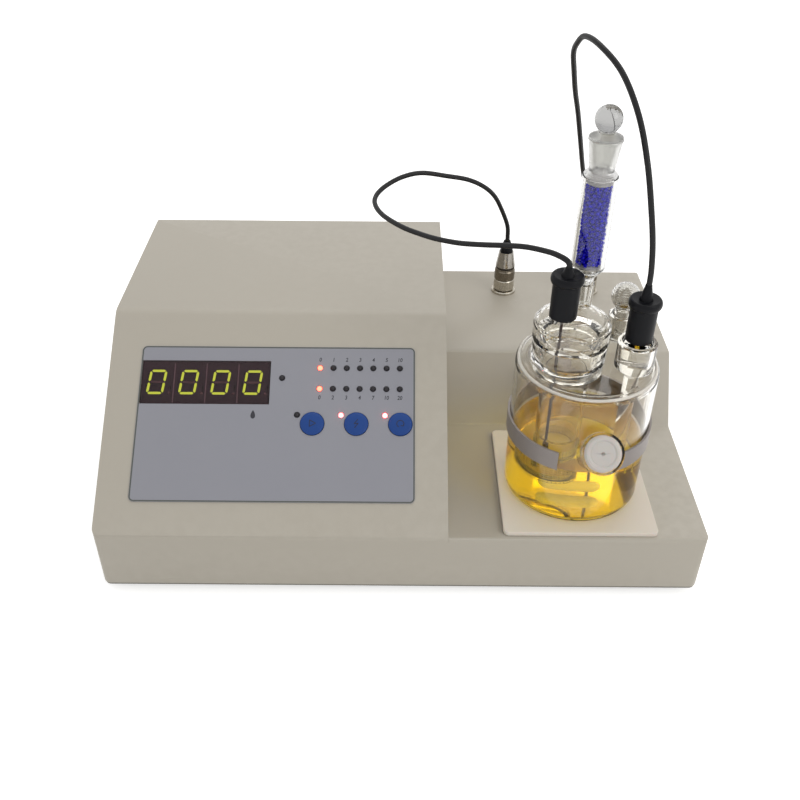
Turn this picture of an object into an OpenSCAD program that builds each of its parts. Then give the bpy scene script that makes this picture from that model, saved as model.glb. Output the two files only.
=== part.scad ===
// Bench meter for coulometric moisture titration, in millimetres, +Z up.
// A sloped control console stands beside a low platform that carries a glass titration cell.
// The origin is the middle of the housing's footprint, at bench level.

/* [Housing] */
// Width of the housing
housing_w = 350; // [335:1:400]
// Depth of the housing
housing_d = 240; // [232:1:280]
// Width of the control console, from the left side
console_w = 202; // [195:1:206]
// Height of the low front apron, and so of the platform
apron_h = 39.5; // [38:0.5:48]
// Height of the console's flat top
console_h = 118.5; // [108:0.5:135]
// How far back the console's slope reaches
slope_d = 115; // [110:1:125]
// Depth of the platform, up to the rear box
platform_d = 104; // [101:1:112]
// Height of the rear box
box_h = 78.5; // [70:0.5:80]
// How far the rear box's front leans back
box_lean = 28.5; // [10:0.5:34]
// Thickness of the housing's sheet
sheet_t = 1.5; // [1:0.1:2]
// Outer radius of the housing's folds
fold_r = 3; // [2.4:0.1:5]
// Outer radius of the bend between the slope and the flat top
crest_r = 10; // [5:0.5:16]
// Outer radius of the housing's upright corners
corner_r = 4.5; // [3:0.1:8]
// Width of the flanges turned inwards for screws
flange_w = 11; // [9:0.5:16]
// Thickness of the base plate and the rear panel
plate_t = 1.5; // [1:0.1:2.5]
// Play of a part in the opening of a plate
plate_gap = 0.25; // [0.1:0.05:0.6]
// How far the base plate stays behind the shell's outline
base_setback = 0.5; // [0.2:0.1:1.5]
// Distance of the rear panel's edge from the housing's outline
rear_inset = 4; // [3.5:0.5:6]
// Height of the rubber feet
foot_h = 6; // [4:0.5:12]
// Diameter of the rubber feet
foot_d = 18; // [14:0.5:24]
// Distance of each foot's centre from the housing's sides
foot_inset = 28; // [26:1:36]
// Thread diameter of the housing's screws
screw_d = 3; // [2.5:0.5:4]

/* [Control panel] */
// Width of the control panel's film
panel_w = 164; // [162:1:170]
// Length of the film, along the slope
panel_l = 95.4; // [94:0.2:104]
// Distance of the film from the housing's left side
panel_left = 19; // [14:1:26]
// Distance of the film from the slope's lower edge
panel_low = 20.4; // [16:0.2:26]
// Thickness of the film
film_t = 0.6; // [0.4:0.1:1]
// Corner radius of the film
film_r = 3; // [1:0.5:5]
// Width of one digit module
digit_w = 19.1; // [16:0.1:19.4]
// Length of a digit module, along the slope
digit_l = 26.8; // [22:0.1:27]
// Thickness of a digit module
digit_t = 7.5; // [6:0.1:9]
// Thickness of the display's filter
filter_t = 2; // [1.5:0.1:3]
// Left edge of the display, from the film's left edge
display_x = 1; // [0.5:0.1:3]
// Lower edge of the display, from the film's lower edge
display_y = 59.1; // [57:0.1:64]
// Diameter of an indicator lamp
lamp_d = 3; // [2.5:0.1:3.6]
// Spacing of the range lamps in a row
lamp_pitch = 7.95; // [6.5:0.05:8.2]
// First range lamp, from the film's left edge
lamp_x = 107.2; // [104:0.1:110]
// Upper row of range lamps, from the film's lower edge
lamp_top_y = 82; // [80:0.1:86]
// Lower row of range lamps, from the film's lower edge
lamp_low_y = 68.9; // [66:0.1:72]
// End-point lamp, from the film's left edge
end_lamp_x = 84.7; // [83:0.1:90]
// Diameter of a key
key_d = 14; // [11:0.5:15]
// Spacing of the keys
key_pitch = 25.9; // [24:0.1:27]
// First key, from the film's left edge
key_x = 103.6; // [101:0.1:106]
// Row of keys, from the film's lower edge
key_y = 47.1; // [44:0.1:50]
// Travel of a key
key_travel = 0.8; // [0.4:0.1:1]
// Height of a key's crown above the film
key_rise = 1.2; // [1:0.1:2]

/* [Titration cell] */
// Cell axis, from the housing's right side
cell_from_right = 73.4; // [66:0.2:75]
// Cell axis, from the housing's front
cell_setback = 49; // [48:0.5:52]
// Width of the pad under the cell
pad_w = 88; // [84:1:100]
// Depth of the pad under the cell
pad_d = 92; // [84:1:94]
// Thickness of the pad
pad_t = 3; // [2:0.5:5]
// Sideways place of the pad's middle from the cell axis
pad_x = 0.9; // [-1:0.1:1.5]
// Outer diameter of the vessel
vessel_d = 78.4; // [78:0.2:82]
// Height of the vessel's shoulder
vessel_h = 88.5; // [86:0.5:96]
// Thickness of the glass walls
glass_t = 2; // [1.4:0.1:2.2]
// Outer radius of the vessel's bottom edge
vessel_foot_r = 4; // [3:0.5:7]
// Outer radius of the vessel's shoulder
shoulder_r = 5; // [4:0.5:7]
// Rise of the vessel's top from its shoulder to its middle
crown_h = 3; // [2:0.5:5]
// Gap under a part that lifts off its seat
seat_gap = 0.3; // [0.1:0.05:0.4]
// Level of the reagent above the vessel's foot
liquid_h = 37.5; // [30:0.5:46]
// Gap between ground joints
joint_gap = 0.2; // [0.15:0.05:0.3]
// Height of the clip band above the pad
clip_z = 39; // [37:0.5:41]
// Width of the clip band
clip_w = 11.8; // [9:0.2:14]
// Thickness of the clip band
clip_t = 1.2; // [0.8:0.1:1.6]
// Gap between the clip band and the vessel
clip_gap = 0.3; // [0.2:0.05:0.5]
// Opening of the clip band at the front
clip_mouth = 33; // [30:0.5:40]
// Length of the stir bar
stir_l = 25; // [18:1:30]
// Diameter of the stir bar
stir_d = 7; // [5:0.5:8]

/* [Injection port] */
// Outer diameter of the injection port
port_d = 22.8; // [21:0.2:24]
// Outer diameter of the septum
septum_d = 19.8; // [17:0.1:20]
// Thickness of the septum
septum_t = 7; // [5:0.5:9]
// Upward tilt of the injection port
port_tilt = 36; // [30:1:42]
// Distance of the port's face from the cell axis, towards the front
port_reach = 49; // [48:0.5:51]
// Height of the port's face above the vessel's foot
port_z = 60.8; // [58:0.2:64]
// Sideways place of the port
port_x = 3.9; // [-2:0.1:4.2]

/* [Cathode chamber] */
// Sideways place of the chamber's axis from the cell axis
chamber_x = -10.9; // [-11.5:0.1:-10.5]
// Outer diameter of the vessel's wide neck
wide_neck_d = 39; // [38:0.2:40]
// Height of the wide neck's rim above the vessel's foot
wide_neck_z = 101.5; // [100:0.5:106]
// Outer diameter of the chamber's head
head_d = 41.5; // [40:0.1:42.5]
// Radius that the wide neck's rim stands out by
lip_t = 0.8; // [0.4:0.1:1]
// Radius of the fillet where the wide neck meets the shoulder
neck_fillet_r = 3; // [2:0.5:4]
// Height of the chamber's head up to its dome
head_h = 8.5; // [6:0.5:9.5]
// Height of the dome
dome_h = 8; // [6:0.5:9]
// Outer diameter of the chamber's tube
tube_d = 26; // [24:0.5:28]
// Height of the chamber's lower end above the vessel's foot
tube_z = 15.5; // [13:0.5:22]
// Electrolysis electrode, sideways from the cell axis
electrode_x = -17.9; // [-18.4:0.1:-17.6]
// Electrolysis electrode, towards the front from the cell axis
electrode_y = -6; // [-6.6:0.1:-5.4]
// Drying tube, sideways from the cell axis
dryer_x = -5; // [-5.2:0.1:-4.5]
// Drying tube, towards the back from the cell axis
dryer_y = 10.5; // [10:0.1:11]

/* [Electrodes] */
// Diameter of an electrode cap
cap_d = 14.5; // [14:0.1:15.5]
// Diameter of an electrode cap's rim
cap_rim_d = 17.5; // [16.5:0.1:18.5]
// Length of the cap below its rim
cap_l = 20; // [18:0.5:24]
// Height of the cap's rim
cap_rim_h = 5; // [3:0.5:6]
// Length of the sleeve where the lead leaves the measuring electrode's cap
sleeve_l = 8; // [6:0.5:12]
// Length of that sleeve on the electrolysis electrode
short_sleeve_l = 4; // [3.5:0.5:6]
// Measuring electrode, sideways from the cell axis
probe_x = 23.1; // [22.4:0.1:23.3]
// Measuring electrode, towards the front from the cell axis
probe_y = -9; // [-10:0.1:-8]
// Outer diameter of the measuring electrode's neck
probe_neck_d = 21; // [20:0.2:22]
// Height of that neck's rim above the vessel's foot
probe_neck_z = 104.5; // [102:0.5:108]
// Outer diameter of the small neck
small_neck_d = 15; // [14:0.2:15.6]
// Height of the small neck's rim above the vessel's foot
small_neck_z = 104.5; // [102:0.5:107]
// Small neck, sideways from the cell axis
small_x = 20.4; // [20:0.1:20.8]
// Small neck, towards the back from the cell axis
small_y = 19.5; // [18.8:0.1:20]
// Diameter of the stopper's hollow ball
stopper_ball_d = 15.8; // [12:0.2:16.4]

/* [Drying tube] */
// Outer diameter of the drying tube
dryer_d = 17.8; // [16:0.1:18.4]
// Thickness of the drying tube's glass
dryer_t = 1.8; // [1.2:0.1:2]
// Length of the drying tube's straight part
dryer_l = 52; // [46:1:60]
// Outer diameter of the tube's upper socket
socket_d = 16.2; // [15.4:0.1:17]
// Height of that socket
socket_h = 16; // [14:0.5:20]
// Diameter of the ball on its stopper
ball_d = 13.6; // [11:0.1:15]

/* [Leads and connectors] */
// Diameter of the leads
lead_d = 3; // [2.6:0.1:3.4]
// Spacing of the two panel connectors
connector_pitch = 59; // [54:0.5:62]
// Right-hand connector, from the housing's right side
connector_from_right = 43; // [40:0.5:46]
// Distance of the connectors from the housing's back
connector_inset = 29; // [24:1:32]
// Diameter of a connector's panel flange
connector_flange_d = 17.3; // [17:0.1:19]
// Diameter of a connector's coupling ring
ring_d = 14.3; // [14:0.1:15]

/* [Rear panel] */
// Width of the mains inlet's opening
inlet_w = 27; // [26:0.5:28]
// Height of the mains inlet's opening
inlet_h = 31; // [30:0.5:32]
// Mains inlet, from the housing's left side
inlet_x = 44; // [42:1:60]
// Height of the inlet above the housing's lower edge
inlet_z = 36; // [32:1:42]
// Diameter of the stir speed knob
knob_d = 22; // [18:0.5:26]
// Speed knob, from the housing's right side
knob_x = 110; // [96:1:116]
// Number of ventilation slots
vent_count = 10; // [4:1:12]

/* [Hidden] */

// How far a cutting shape runs past what it cuts
over = 0.5;
// Sides of round shapes: large glass, middle-sized pieces, and small ones
fine = 72;
mid = 48;
small = 28;
// Steps in a rounded corner
steps = 6;
// Gap between a lamp, key or digit and the opening it comes through
opening_gap = 0.3;

front_y = -housing_d / 2;
back_y = housing_d / 2;
left_x = -housing_w / 2;
right_x = housing_w / 2;
console_x = left_x + console_w;
platform_z = foot_h + apron_h;
box_z = foot_h + box_h;
floor_z = foot_h + plate_t;
slope_a = atan2(console_h - apron_h, slope_d);

cell_x = right_x - cell_from_right;
cell_y = front_y + cell_setback;
cell_z = platform_z + pad_t + seat_gap;
vessel_r = vessel_d / 2;

// Unit vector along v
function unit(v) = v / norm(v);
// Corner b of the path a, b, c, moved inwards by t from both edges
function inset_corner(a, b, c, t) =
    let (u = unit(b - a), v = unit(c - b), m = [-u.y, u.x], n = [-v.y, v.x])
    b + (m + n) * t / (1 + m * n);
// A closed counter-clockwise outline, moved inwards by t
function inset(p, t) =
    let (n = len(p))
    [for (i = [0:n - 1]) inset_corner(p[(i + n - 1) % n], p[i], p[(i + 1) % n], t)];
// Corner b of the path a, b, c, rounded to radius r
function corner(a, b, c, r) =
    r <= 0 ? [b] :
    let (
        u = unit(a - b), v = unit(c - b), half = acos(u * v) / 2,
        o = b + unit(u + v) * r / sin(half),
        p = b + u * r / tan(half), q = b + v * r / tan(half),
        a0 = atan2(p.y - o.y, p.x - o.x),
        turn = (atan2(q.y - o.y, q.x - o.x) - a0 + 540) % 360 - 180
    )
    [for (k = [0:steps]) o + r * [cos(a0 + turn * k / steps), sin(a0 + turn * k / steps)]];
// A closed outline with each corner rounded to its own radius
function rounded(p, r) =
    let (n = len(p))
    [for (i = [0:n - 1]) each corner(p[(i + n - 1) % n], p[i], p[(i + 1) % n], r[i])];
// An elliptical arc from angle a0 to angle a1 about [0, z], with half-axes rx and rz
function arc(z, rx, rz, a0, a1, n = 8) =
    [for (k = [0:n]) [rx * cos(a0 + (a1 - a0) * k / n), z + rz * sin(a0 + (a1 - a0) * k / n)]];

module rounded_plate(w, d, h, r) {
    linear_extrude(h)
        polygon(rounded([[0, 0], [w, 0], [w, d], [0, d]], [r, r, r, r]));
}

module turned(profile, n = mid) {
    rotate_extrude($fn = n) polygon(profile);
}

module hole(x, y, z, d, l, n = small) {
    translate([x, y, z]) cylinder(h = l, d = d, $fn = n);
}

// Housing: outlines seen from the side, in depth and height

// Side of the console, from height low at the bottom to depth deep at the back
function console_side(low, deep) = [
    [0, low], [deep, low], [deep, console_h], [slope_d, console_h], [0, apron_h]
];
// Side of the platform and the rear box
function cell_side(low, deep) = [
    [0, low], [deep, low], [deep, box_h], [platform_d + box_lean, box_h],
    [platform_d, apron_h], [0, apron_h]
];
// The housing's outline seen from behind
back_outline = [
    [left_x, 0], [right_x, 0], [right_x, box_h], [console_x, box_h],
    [console_x, console_h], [left_x, console_h]
];

module bay(x0, x1, outline) {
    translate([x0, front_y, foot_h])
        rotate([90, 0, 90])
            linear_extrude(x1 - x0) polygon(outline);
}

module upright(y, t, outline) {
    translate([0, y + t, foot_h])
        rotate([90, 0, 0])
            linear_extrude(t) polygon(outline);
}

// Places its children on the slope: x from the film's left edge, y up the slope, z off the sheet
module on_slope() {
    translate([left_x, front_y, platform_z])
        rotate([slope_a, 0, 0])
            translate([panel_left, panel_low, 0]) children();
}

lamp_count = 7;
display_w = 4 * digit_w;
end_lamp_y = (lamp_top_y + lamp_low_y) / 2;
key_lamp_dx = -9.1;
key_lamp_dy = 5.4;
top_row = [for (i = [0:lamp_count - 1]) [lamp_x + i * lamp_pitch, lamp_top_y]];
low_row = [for (i = [0:lamp_count - 1]) [lamp_x + i * lamp_pitch, lamp_low_y]];
keys = [for (i = [0:2]) [key_x + i * key_pitch, key_y]];
key_lamps = [for (k = keys) [k.x + key_lamp_dx, k.y + key_lamp_dy]];
lamps_amber = [top_row[0], low_row[0]];
lamps_red = [key_lamps[1], key_lamps[2]];
lamps_dark = concat(
    [for (i = [1:lamp_count - 1]) top_row[i]],
    [for (i = [1:lamp_count - 1]) low_row[i]],
    [[end_lamp_x, end_lamp_y], key_lamps[0]]
);

// Openings for the display, lamps and keys, through the layer from z to z + t
module panel_openings(z, t) {
    on_slope() {
        translate([display_x - opening_gap, display_y - opening_gap, z])
            cube([display_w + 2 * opening_gap, digit_l + 2 * opening_gap, t]);
        for (p = concat(lamps_amber, lamps_red, lamps_dark))
            hole(p.x, p.y, z, lamp_d + 2 * opening_gap, t);
        for (p = keys)
            hole(p.x, p.y, z, key_d + 2 * opening_gap, t, mid);
    }
}

connector_y = back_y - connector_inset;
connector_xs = [for (k = [1, 0]) right_x - connector_from_right - k * connector_pitch];
thread_d = 10.6;
bracket_w = 14;
bracket_t = 1.6;
bracket_foot_l = 22;
bracket_foot_y = front_y + platform_d + box_lean + 8;
bracket_screws = [bracket_foot_y + 6, bracket_foot_y + 16];
hole_play = 0.4;
tap_d = screw_d - 0.4;
tap_hole_d = tap_d + 0.1;

// Screws along the base plate's sides, and round the rear panel
base_screw_xs = [left_x + sheet_t + flange_w / 2, right_x - sheet_t - flange_w / 2];
base_screw_ys = [front_y + 50, 0, back_y - 50];
rear_screw_in = rear_inset + 4;
rear_screw_pts = [
    for (x = [left_x + rear_screw_in, right_x - rear_screw_in])
        for (z = [20, box_h - 14]) [x, foot_h + z],
    [left_x + console_w / 2, foot_h + console_h - rear_screw_in],
    [left_x + rear_screw_in, foot_h + console_h - rear_screw_in],
    [console_x - rear_screw_in, foot_h + console_h - rear_screw_in],
    [(console_x + right_x) / 2, foot_h + box_h - rear_screw_in]
];

// An upright block with the housing's rounded corners in plan, moved inwards by t
module plan(t, low, high) {
    translate([left_x + t, front_y + t, low])
        rounded_plate(housing_w - 2 * t, housing_d - 2 * t, high - low, corner_r - t);
}

module rear_hole(x, z, d, y, l) {
    translate([x, y + l, z]) rotate([90, 0, 0]) cylinder(h = l, d = d, $fn = small);
}

// The shell: two folded bays in one, open below, with an opening at the back and flanges for screws
module upper_shell() {
    r = fold_r;
    ri = fold_r - sheet_t;
    t = sheet_t;
    color([0.71, 0.70, 0.65]) difference() {
        union() {
            difference() {
                intersection() {
                    union() {
                        bay(left_x, console_x,
                            rounded(console_side(plate_t, housing_d), [0, 0, r, crest_r, r]));
                        bay(console_x - r, right_x,
                            rounded(cell_side(plate_t, housing_d), [0, 0, r, r, r, r]));
                    }
                    plan(0, foot_h, foot_h + console_h + over);
                }
                intersection() {
                    union() {
                        bay(left_x + t, console_x - t,
                            rounded(inset(console_side(-10, housing_d), t), [0, 0, ri, crest_r - t, ri]));
                        bay(console_x - t - over, right_x - t,
                            rounded(inset(cell_side(-10, housing_d), t), [0, 0, ri, ri, r + t, ri]));
                    }
                    plan(t, 0, foot_h + console_h);
                }
            }
            for (x = [left_x + t - over, right_x - t - flange_w])
                translate([x, front_y + corner_r + 4, floor_z])
                    cube([flange_w + over, housing_d - 2 * corner_r - 8, t]);
        }
        upright(back_y - t - over, t + 2 * over, rounded(inset(back_outline, rear_lip), [3, 3, 3, 3, 3, 3]));
        panel_openings(-t - over, t + 2 * over);
        for (x = connector_xs)
            hole(x, connector_y, box_z - t - over, thread_d + hole_play, t + 2 * over, mid);
        for (y = bracket_screws)
            hole(cell_x, y, box_z - t - over, screw_d, t + 2 * over);
        for (x = base_screw_xs) for (y = base_screw_ys)
            hole(x, y, floor_z - over, tap_hole_d, t + 2 * over);
        for (p = rear_screw_pts)
            rear_hole(p.x, p.y, tap_hole_d, back_y - t - over, t + 2 * over);
    }
}

rear_lip = rear_inset + 8;
feet = [
    for (x = [left_x + foot_inset, right_x - foot_inset])
        for (y = [front_y + foot_inset, back_y - foot_inset]) [x, y]
];

module base_plate() {
    color([0.62, 0.61, 0.57]) difference() {
        plan(base_setback, foot_h, floor_z);
        for (x = base_screw_xs) for (y = base_screw_ys)
            hole(x, y, foot_h - over, screw_d + hole_play, plate_t + 2 * over);
        for (p = feet)
            hole(p.x, p.y, foot_h - over, screw_d + hole_play, plate_t + 2 * over);
        for (i = [0:vent_count - 1])
            translate([left_x + 70 + i * 9, front_y + 40, foot_h - over])
                cube([3.5, 40, plate_t + 2 * over]);
    }
}

rear_y = back_y + plate_t;
inlet_px = left_x + inlet_x;
inlet_pz = foot_h + inlet_z;
switch_px = inlet_px + 46;
switch_w = 19;
switch_h = 13;
knob_px = right_x - knob_x;
knob_pz = foot_h + 38;
pot_bush_d = 7;
vent_l = 16;

// The rear panel lies on the shell's rear flange from outside
module rear_panel() {
    color([0.70, 0.69, 0.64]) difference() {
        upright(back_y, plate_t, rounded(inset(back_outline, rear_inset), [3, 3, 3, 3, 3, 3]));
        for (b = [[inlet_px, inlet_w, inlet_h], [switch_px, switch_w, switch_h]])
            translate([b.x - b.y / 2 - plate_gap, back_y - over, inlet_pz - b.z / 2 - plate_gap])
                cube([b.y + 2 * plate_gap, plate_t + 2 * over, b.z + 2 * plate_gap]);
        translate([knob_px, rear_y + over, knob_pz]) rotate([90, 0, 0])
            cylinder(h = plate_t + 2 * over, d = pot_bush_d + hole_play, $fn = mid);
        for (i = [0:vent_count - 1])
            translate([left_x + 32 + i * 11, back_y - over, foot_h + console_h - 40])
                cube([4, plate_t + 2 * over, vent_l]);
        for (p = rear_screw_pts)
            rear_hole(p.x, p.y, screw_d + hole_play, back_y - over, plate_t + 2 * over);
        for (s = [-1, 1])
            rear_hole(inlet_px + s * inlet_screw_x, inlet_pz, screw_d + hole_play,
                back_y - over, plate_t + 2 * over);
    }
}

module rubber_feet() {
    color([0.08, 0.08, 0.09]) for (p = feet)
        translate([p.x, p.y, 0]) difference() {
            turned([
                [0, 0], [foot_d / 2 - 1.5, 0], [foot_d / 2 - 0.5, 1],
                [foot_d / 2, foot_h], [0, foot_h]
            ]);
            translate([0, 0, -over]) cylinder(h = foot_h / 2 + over, d = 2 * screw_d + 1, $fn = small);
            translate([0, 0, -over]) cylinder(h = foot_h + 2 * over, d = screw_d + hole_play, $fn = small);
        }
}

// A pan-head screw: its head sits at z = 0 upwards, its shank runs down
module pan_screw(shank) {
    head_r = screw_d * 0.95;
    head_h = screw_d * 0.6;
    difference() {
        turned([
            [0, -shank], [tap_d / 2, -shank], [tap_d / 2, 0], [head_r, 0],
            [head_r, head_h * 0.55], [head_r * 0.75, head_h * 0.88], [0, head_h]
        ], small);
        for (a = [0, 90])
            rotate(a) translate([-head_r * 0.6, -screw_d * 0.1, head_h * 0.45])
                cube([head_r * 1.2, screw_d * 0.2, head_h]);
    }
}

module housing_screws() {
    color([0.62, 0.62, 0.64]) {
        for (x = base_screw_xs) for (y = base_screw_ys)
            translate([x, y, foot_h]) rotate([180, 0, 0]) pan_screw(plate_t + sheet_t);
        for (p = rear_screw_pts)
            translate([p.x, rear_y, p.y]) rotate([-90, 0, 0]) pan_screw(plate_t + sheet_t);
        for (p = feet)
            translate([p.x, p.y, foot_h / 2]) rotate([180, 0, 0]) pan_screw(foot_h / 2 + plate_t);
        for (s = [-1, 1])
            translate([inlet_px + s * inlet_screw_x, rear_y + inlet_flange_t, inlet_pz])
                rotate([-90, 0, 0]) pan_screw(inlet_flange_t + plate_t + 2);
    }
}

// Control panel

module panel_film() {
    color([0.60, 0.62, 0.68]) difference() {
        on_slope() translate([0, 0, 0.02]) rounded_plate(panel_w, panel_l, film_t, film_r);
        panel_openings(-over, film_t + 2 * over);
    }
}

module display_filter() {
    color([0.20, 0.04, 0.06]) on_slope()
        translate([display_x, display_y, film_t - filter_t])
            rounded_plate(display_w, digit_l, filter_t, 0.6);
}

digit_low = film_t - filter_t - digit_t;
board_t = 1.6;
board_low = digit_low - board_t;
segment_depth = 0.3;

// One bar of a digit, from p to q, with pointed ends
module segment(p, q, w) {
    a = atan2(q.y - p.y, q.x - p.x);
    l = norm(q - p) - 0.6;
    translate([(p.x + q.x) / 2, (p.y + q.y) / 2, digit_t - segment_depth]) rotate(a)
        linear_extrude(segment_depth + over)
            polygon([
                [-l / 2, 0], [-l / 2 + w / 2, w / 2], [l / 2 - w / 2, w / 2],
                [l / 2, 0], [l / 2 - w / 2, -w / 2], [-l / 2 + w / 2, -w / 2]
            ]);
}

module digit_modules() {
    digit_h = 14;
    lean = 0.12;
    half_w = 4.6;
    middle_y = digit_l / 2 + 0.5;
    // Corner of the digit: side -1 or 1, level -1, 0 or 1
    function pt(s, v) =
        [digit_w / 2 - 0.8 + s * half_w + v * digit_h / 2 * lean, middle_y + v * digit_h / 2];
    color([0.10, 0.09, 0.10]) on_slope() for (i = [0:3])
        translate([display_x + i * digit_w, display_y, digit_low]) difference() {
            translate([0.05, 0.05, 0]) cube([digit_w - 0.1, digit_l - 0.1, digit_t]);
            for (v = [-1, 0, 1]) segment(pt(-1, v), pt(1, v), 2);
            for (s = [-1, 1]) for (v = [-1, 0]) segment(pt(s, v), pt(s, v + 1), 2);
            hole(digit_w - 2.4, middle_y - digit_h / 2, digit_t - segment_depth, 2, 2 * over);
        }
}

module display_board() {
    button_top = plunger_low - key_travel - 0.1;
    color([0.10, 0.32, 0.18]) on_slope() {
        difference() {
            translate([-2, -2, board_low]) cube([panel_w + 4, panel_l, board_t]);
            for (p = board_studs)
                hole(p.x, p.y, board_low - over, screw_d + hole_play, board_t + 2 * over);
        }
        // A push switch under each key, and the connector for the flat cable
        for (p = keys) translate([p.x, p.y, digit_low]) {
            translate([-3, -3, 0]) cube([6, 6, button_top - digit_low - 0.6]);
            cylinder(h = button_top - digit_low, d = 3.5, $fn = small);
        }
        translate([30, 20, board_low - 6]) cube([36, 8, 6]);
    }
}

// A round lamp: lens with collar, and two legs down to the board
module lamp() {
    r = lamp_d / 2;
    lens_low = -4.2;
    turned(concat(
        [[0, lens_low], [r + 0.4, lens_low], [r + 0.4, lens_low + 1], [r, lens_low + 1]],
        arc(film_t - 0.2, r, r, 0, 90, 5)
    ), small);
    for (s = [-1, 1])
        translate([s * 1.27 - 0.25, -0.25, digit_low]) cube([0.5, 0.5, lens_low - digit_low]);
}

module lamps(points) {
    on_slope() for (p = points) translate([p.x, p.y, 0]) lamp();
}

module dark_lamps() { color([0.16, 0.10, 0.10]) lamps(lamps_dark); }
module amber_lamps() { color([0.95, 0.60, 0.15]) lamps(lamps_amber); }
module red_lamps() { color([0.95, 0.35, 0.40]) lamps(lamps_red); }

plunger_low = -5;
key_lip_z = -sheet_t - 0.3;

module key_cap(i) {
    r = key_d / 2;
    color([0.10, 0.35, 0.75]) on_slope()
        translate([keys[i].x, keys[i].y, 0]) turned(concat(
            [
                [0, plunger_low], [2, plunger_low], [2, key_lip_z - 1.2],
                [r + 1, key_lip_z - 1.2], [r + 1, key_lip_z], [r, key_lip_z],
                [r, film_t + key_rise * 0.5]
            ],
            arc(film_t + key_rise * 0.5, r - 0.6, key_rise * 0.5, 0, 90, 5)
        ));
}

module key_start() { key_cap(0); }
module key_electrolysis() { key_cap(1); }
module key_stir() { key_cap(2); }

// Studs hang the display board under the slope, and posts carry the main board
board_studs = [[2, 2], [panel_w - 2, 2], [2, panel_l - 6], [panel_w - 2, panel_l - 6]];
main_w = 100;
main_d = 96;
main_x = console_x - main_w - 8;
main_y = back_y - main_d - 26;
main_z = floor_z + 8;
main_posts = [
    for (x = [main_x + 5, main_x + main_w - 5]) for (y = [main_y + 5, main_y + main_d - 5]) [x, y]
];

module standoffs() {
    post_d = 6;
    color([0.75, 0.75, 0.72]) {
        on_slope() for (p = board_studs)
            translate([p.x, p.y, digit_low]) cylinder(h = -sheet_t - digit_low - 0.02, d = post_d, $fn = 6);
        on_slope() for (p = board_studs)
            translate([p.x, p.y, board_low]) rotate([180, 0, 0]) pan_screw(board_t);
        for (p = main_posts) {
            translate([p.x, p.y, floor_z]) cylinder(h = main_z - floor_z, d = post_d, $fn = 6);
            translate([p.x, p.y, main_z + board_t]) pan_screw(board_t);
        }
    }
}

module main_board() {
    top = main_z + board_t;
    color([0.08, 0.30, 0.16]) {
        difference() {
            translate([main_x, main_y, main_z]) cube([main_w, main_d, board_t]);
            for (p = main_posts)
                hole(p.x, p.y, main_z - over, screw_d + hole_play, board_t + 2 * over);
        }
        // Smoothing capacitors, a finned heat sink, chips, relay and terminal strip
        for (i = [0:2])
            translate([main_x + 18 + i * 16, main_y + main_d - 16, top])
                cylinder(h = 22, d = 12, $fn = mid);
        translate([main_x + 60, main_y + main_d - 24, top]) {
            cube([34, 2, 24]);
            for (i = [0:6]) translate([i * 5.3, 2, 0]) cube([1.6, 10, 24]);
        }
        for (i = [0:2])
            translate([main_x + 12 + i * 27, main_y + 32, top]) cube([20, 8, 4]);
        translate([main_x + 70, main_y + 48, top]) cube([19, 15, 15]);
        translate([main_x + 16, main_y + 8, top]) difference() {
            cube([50, 8, 10]);
            for (i = [0:8]) translate([2.4 + i * 5.2, -over, 4]) cube([3.6, 3, 4]);
        }
    }
}

// Transformer: laminated core with a winding on its middle leg, standing on the base plate
core_w = 57;
core_h = 48;
core_d = 22;
core_x = left_x + 24;
// Distance of the core's front from the housing's back
core_inset = 92;
core_y = back_y - core_inset;
leg = core_w / 6;

module transformer_core() {
    color([0.35, 0.35, 0.37]) translate([core_x, core_y, floor_z]) {
        difference() {
            cube([core_w, core_d, core_h]);
            for (s = [0, 1])
                translate([leg + s * 3 * leg, -over, leg])
                    cube([leg, core_d + 2 * over, core_h - 2 * leg]);
        }
        for (x = [-10, core_w])
            translate([x, 2, 0]) difference() {
                cube([10, core_d - 4, 2]);
                hole(5, core_d / 2 - 2, -over, screw_d + 1, 2 + 2 * over);
            }
    }
}

module transformer_winding() {
    gap = 0.3;
    inner_w = 2 * leg + 2 * gap;
    color([0.80, 0.55, 0.20]) translate([core_x + core_w / 2, core_y + core_d / 2, floor_z + leg + gap])
        difference() {
            h = core_h - 2 * leg - 2 * gap;
            w = 4 * leg - 2 * gap;
            d = core_d + 16;
            translate([-w / 2, -d / 2, 0]) rounded_plate(w, d, h, 4);
            translate([-inner_w / 2, -core_d / 2 - gap, -over])
                cube([inner_w, core_d + 2 * gap, h + 2 * over]);
        }
}

// Stirrer: motor under the platform, hung from a bridge, with two magnets on its shaft
motor_d = 34;
motor_h = 19;
carrier_t = 3;
magnet_h = 5;
carrier_z = platform_z - sheet_t - 2 - magnet_h - carrier_t;
bridge_z = carrier_z - 1 - plate_t;
motor_z = bridge_z - motor_h;
magnet_r = 13;
shaft_d = 4;
shaft_play = 0.04;

module stirrer_motor() {
    color([0.45, 0.45, 0.47]) translate([cell_x, cell_y, motor_z]) {
        turned([
            [0, 0], [5, 0], [5, 0.6], [motor_d / 2 - 1, 0.6], [motor_d / 2, 1.6],
            [motor_d / 2, motor_h], [0, motor_h]
        ]);
        cylinder(h = carrier_z + carrier_t - 1 - motor_z, d = shaft_d, $fn = small);
    }
}

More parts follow.
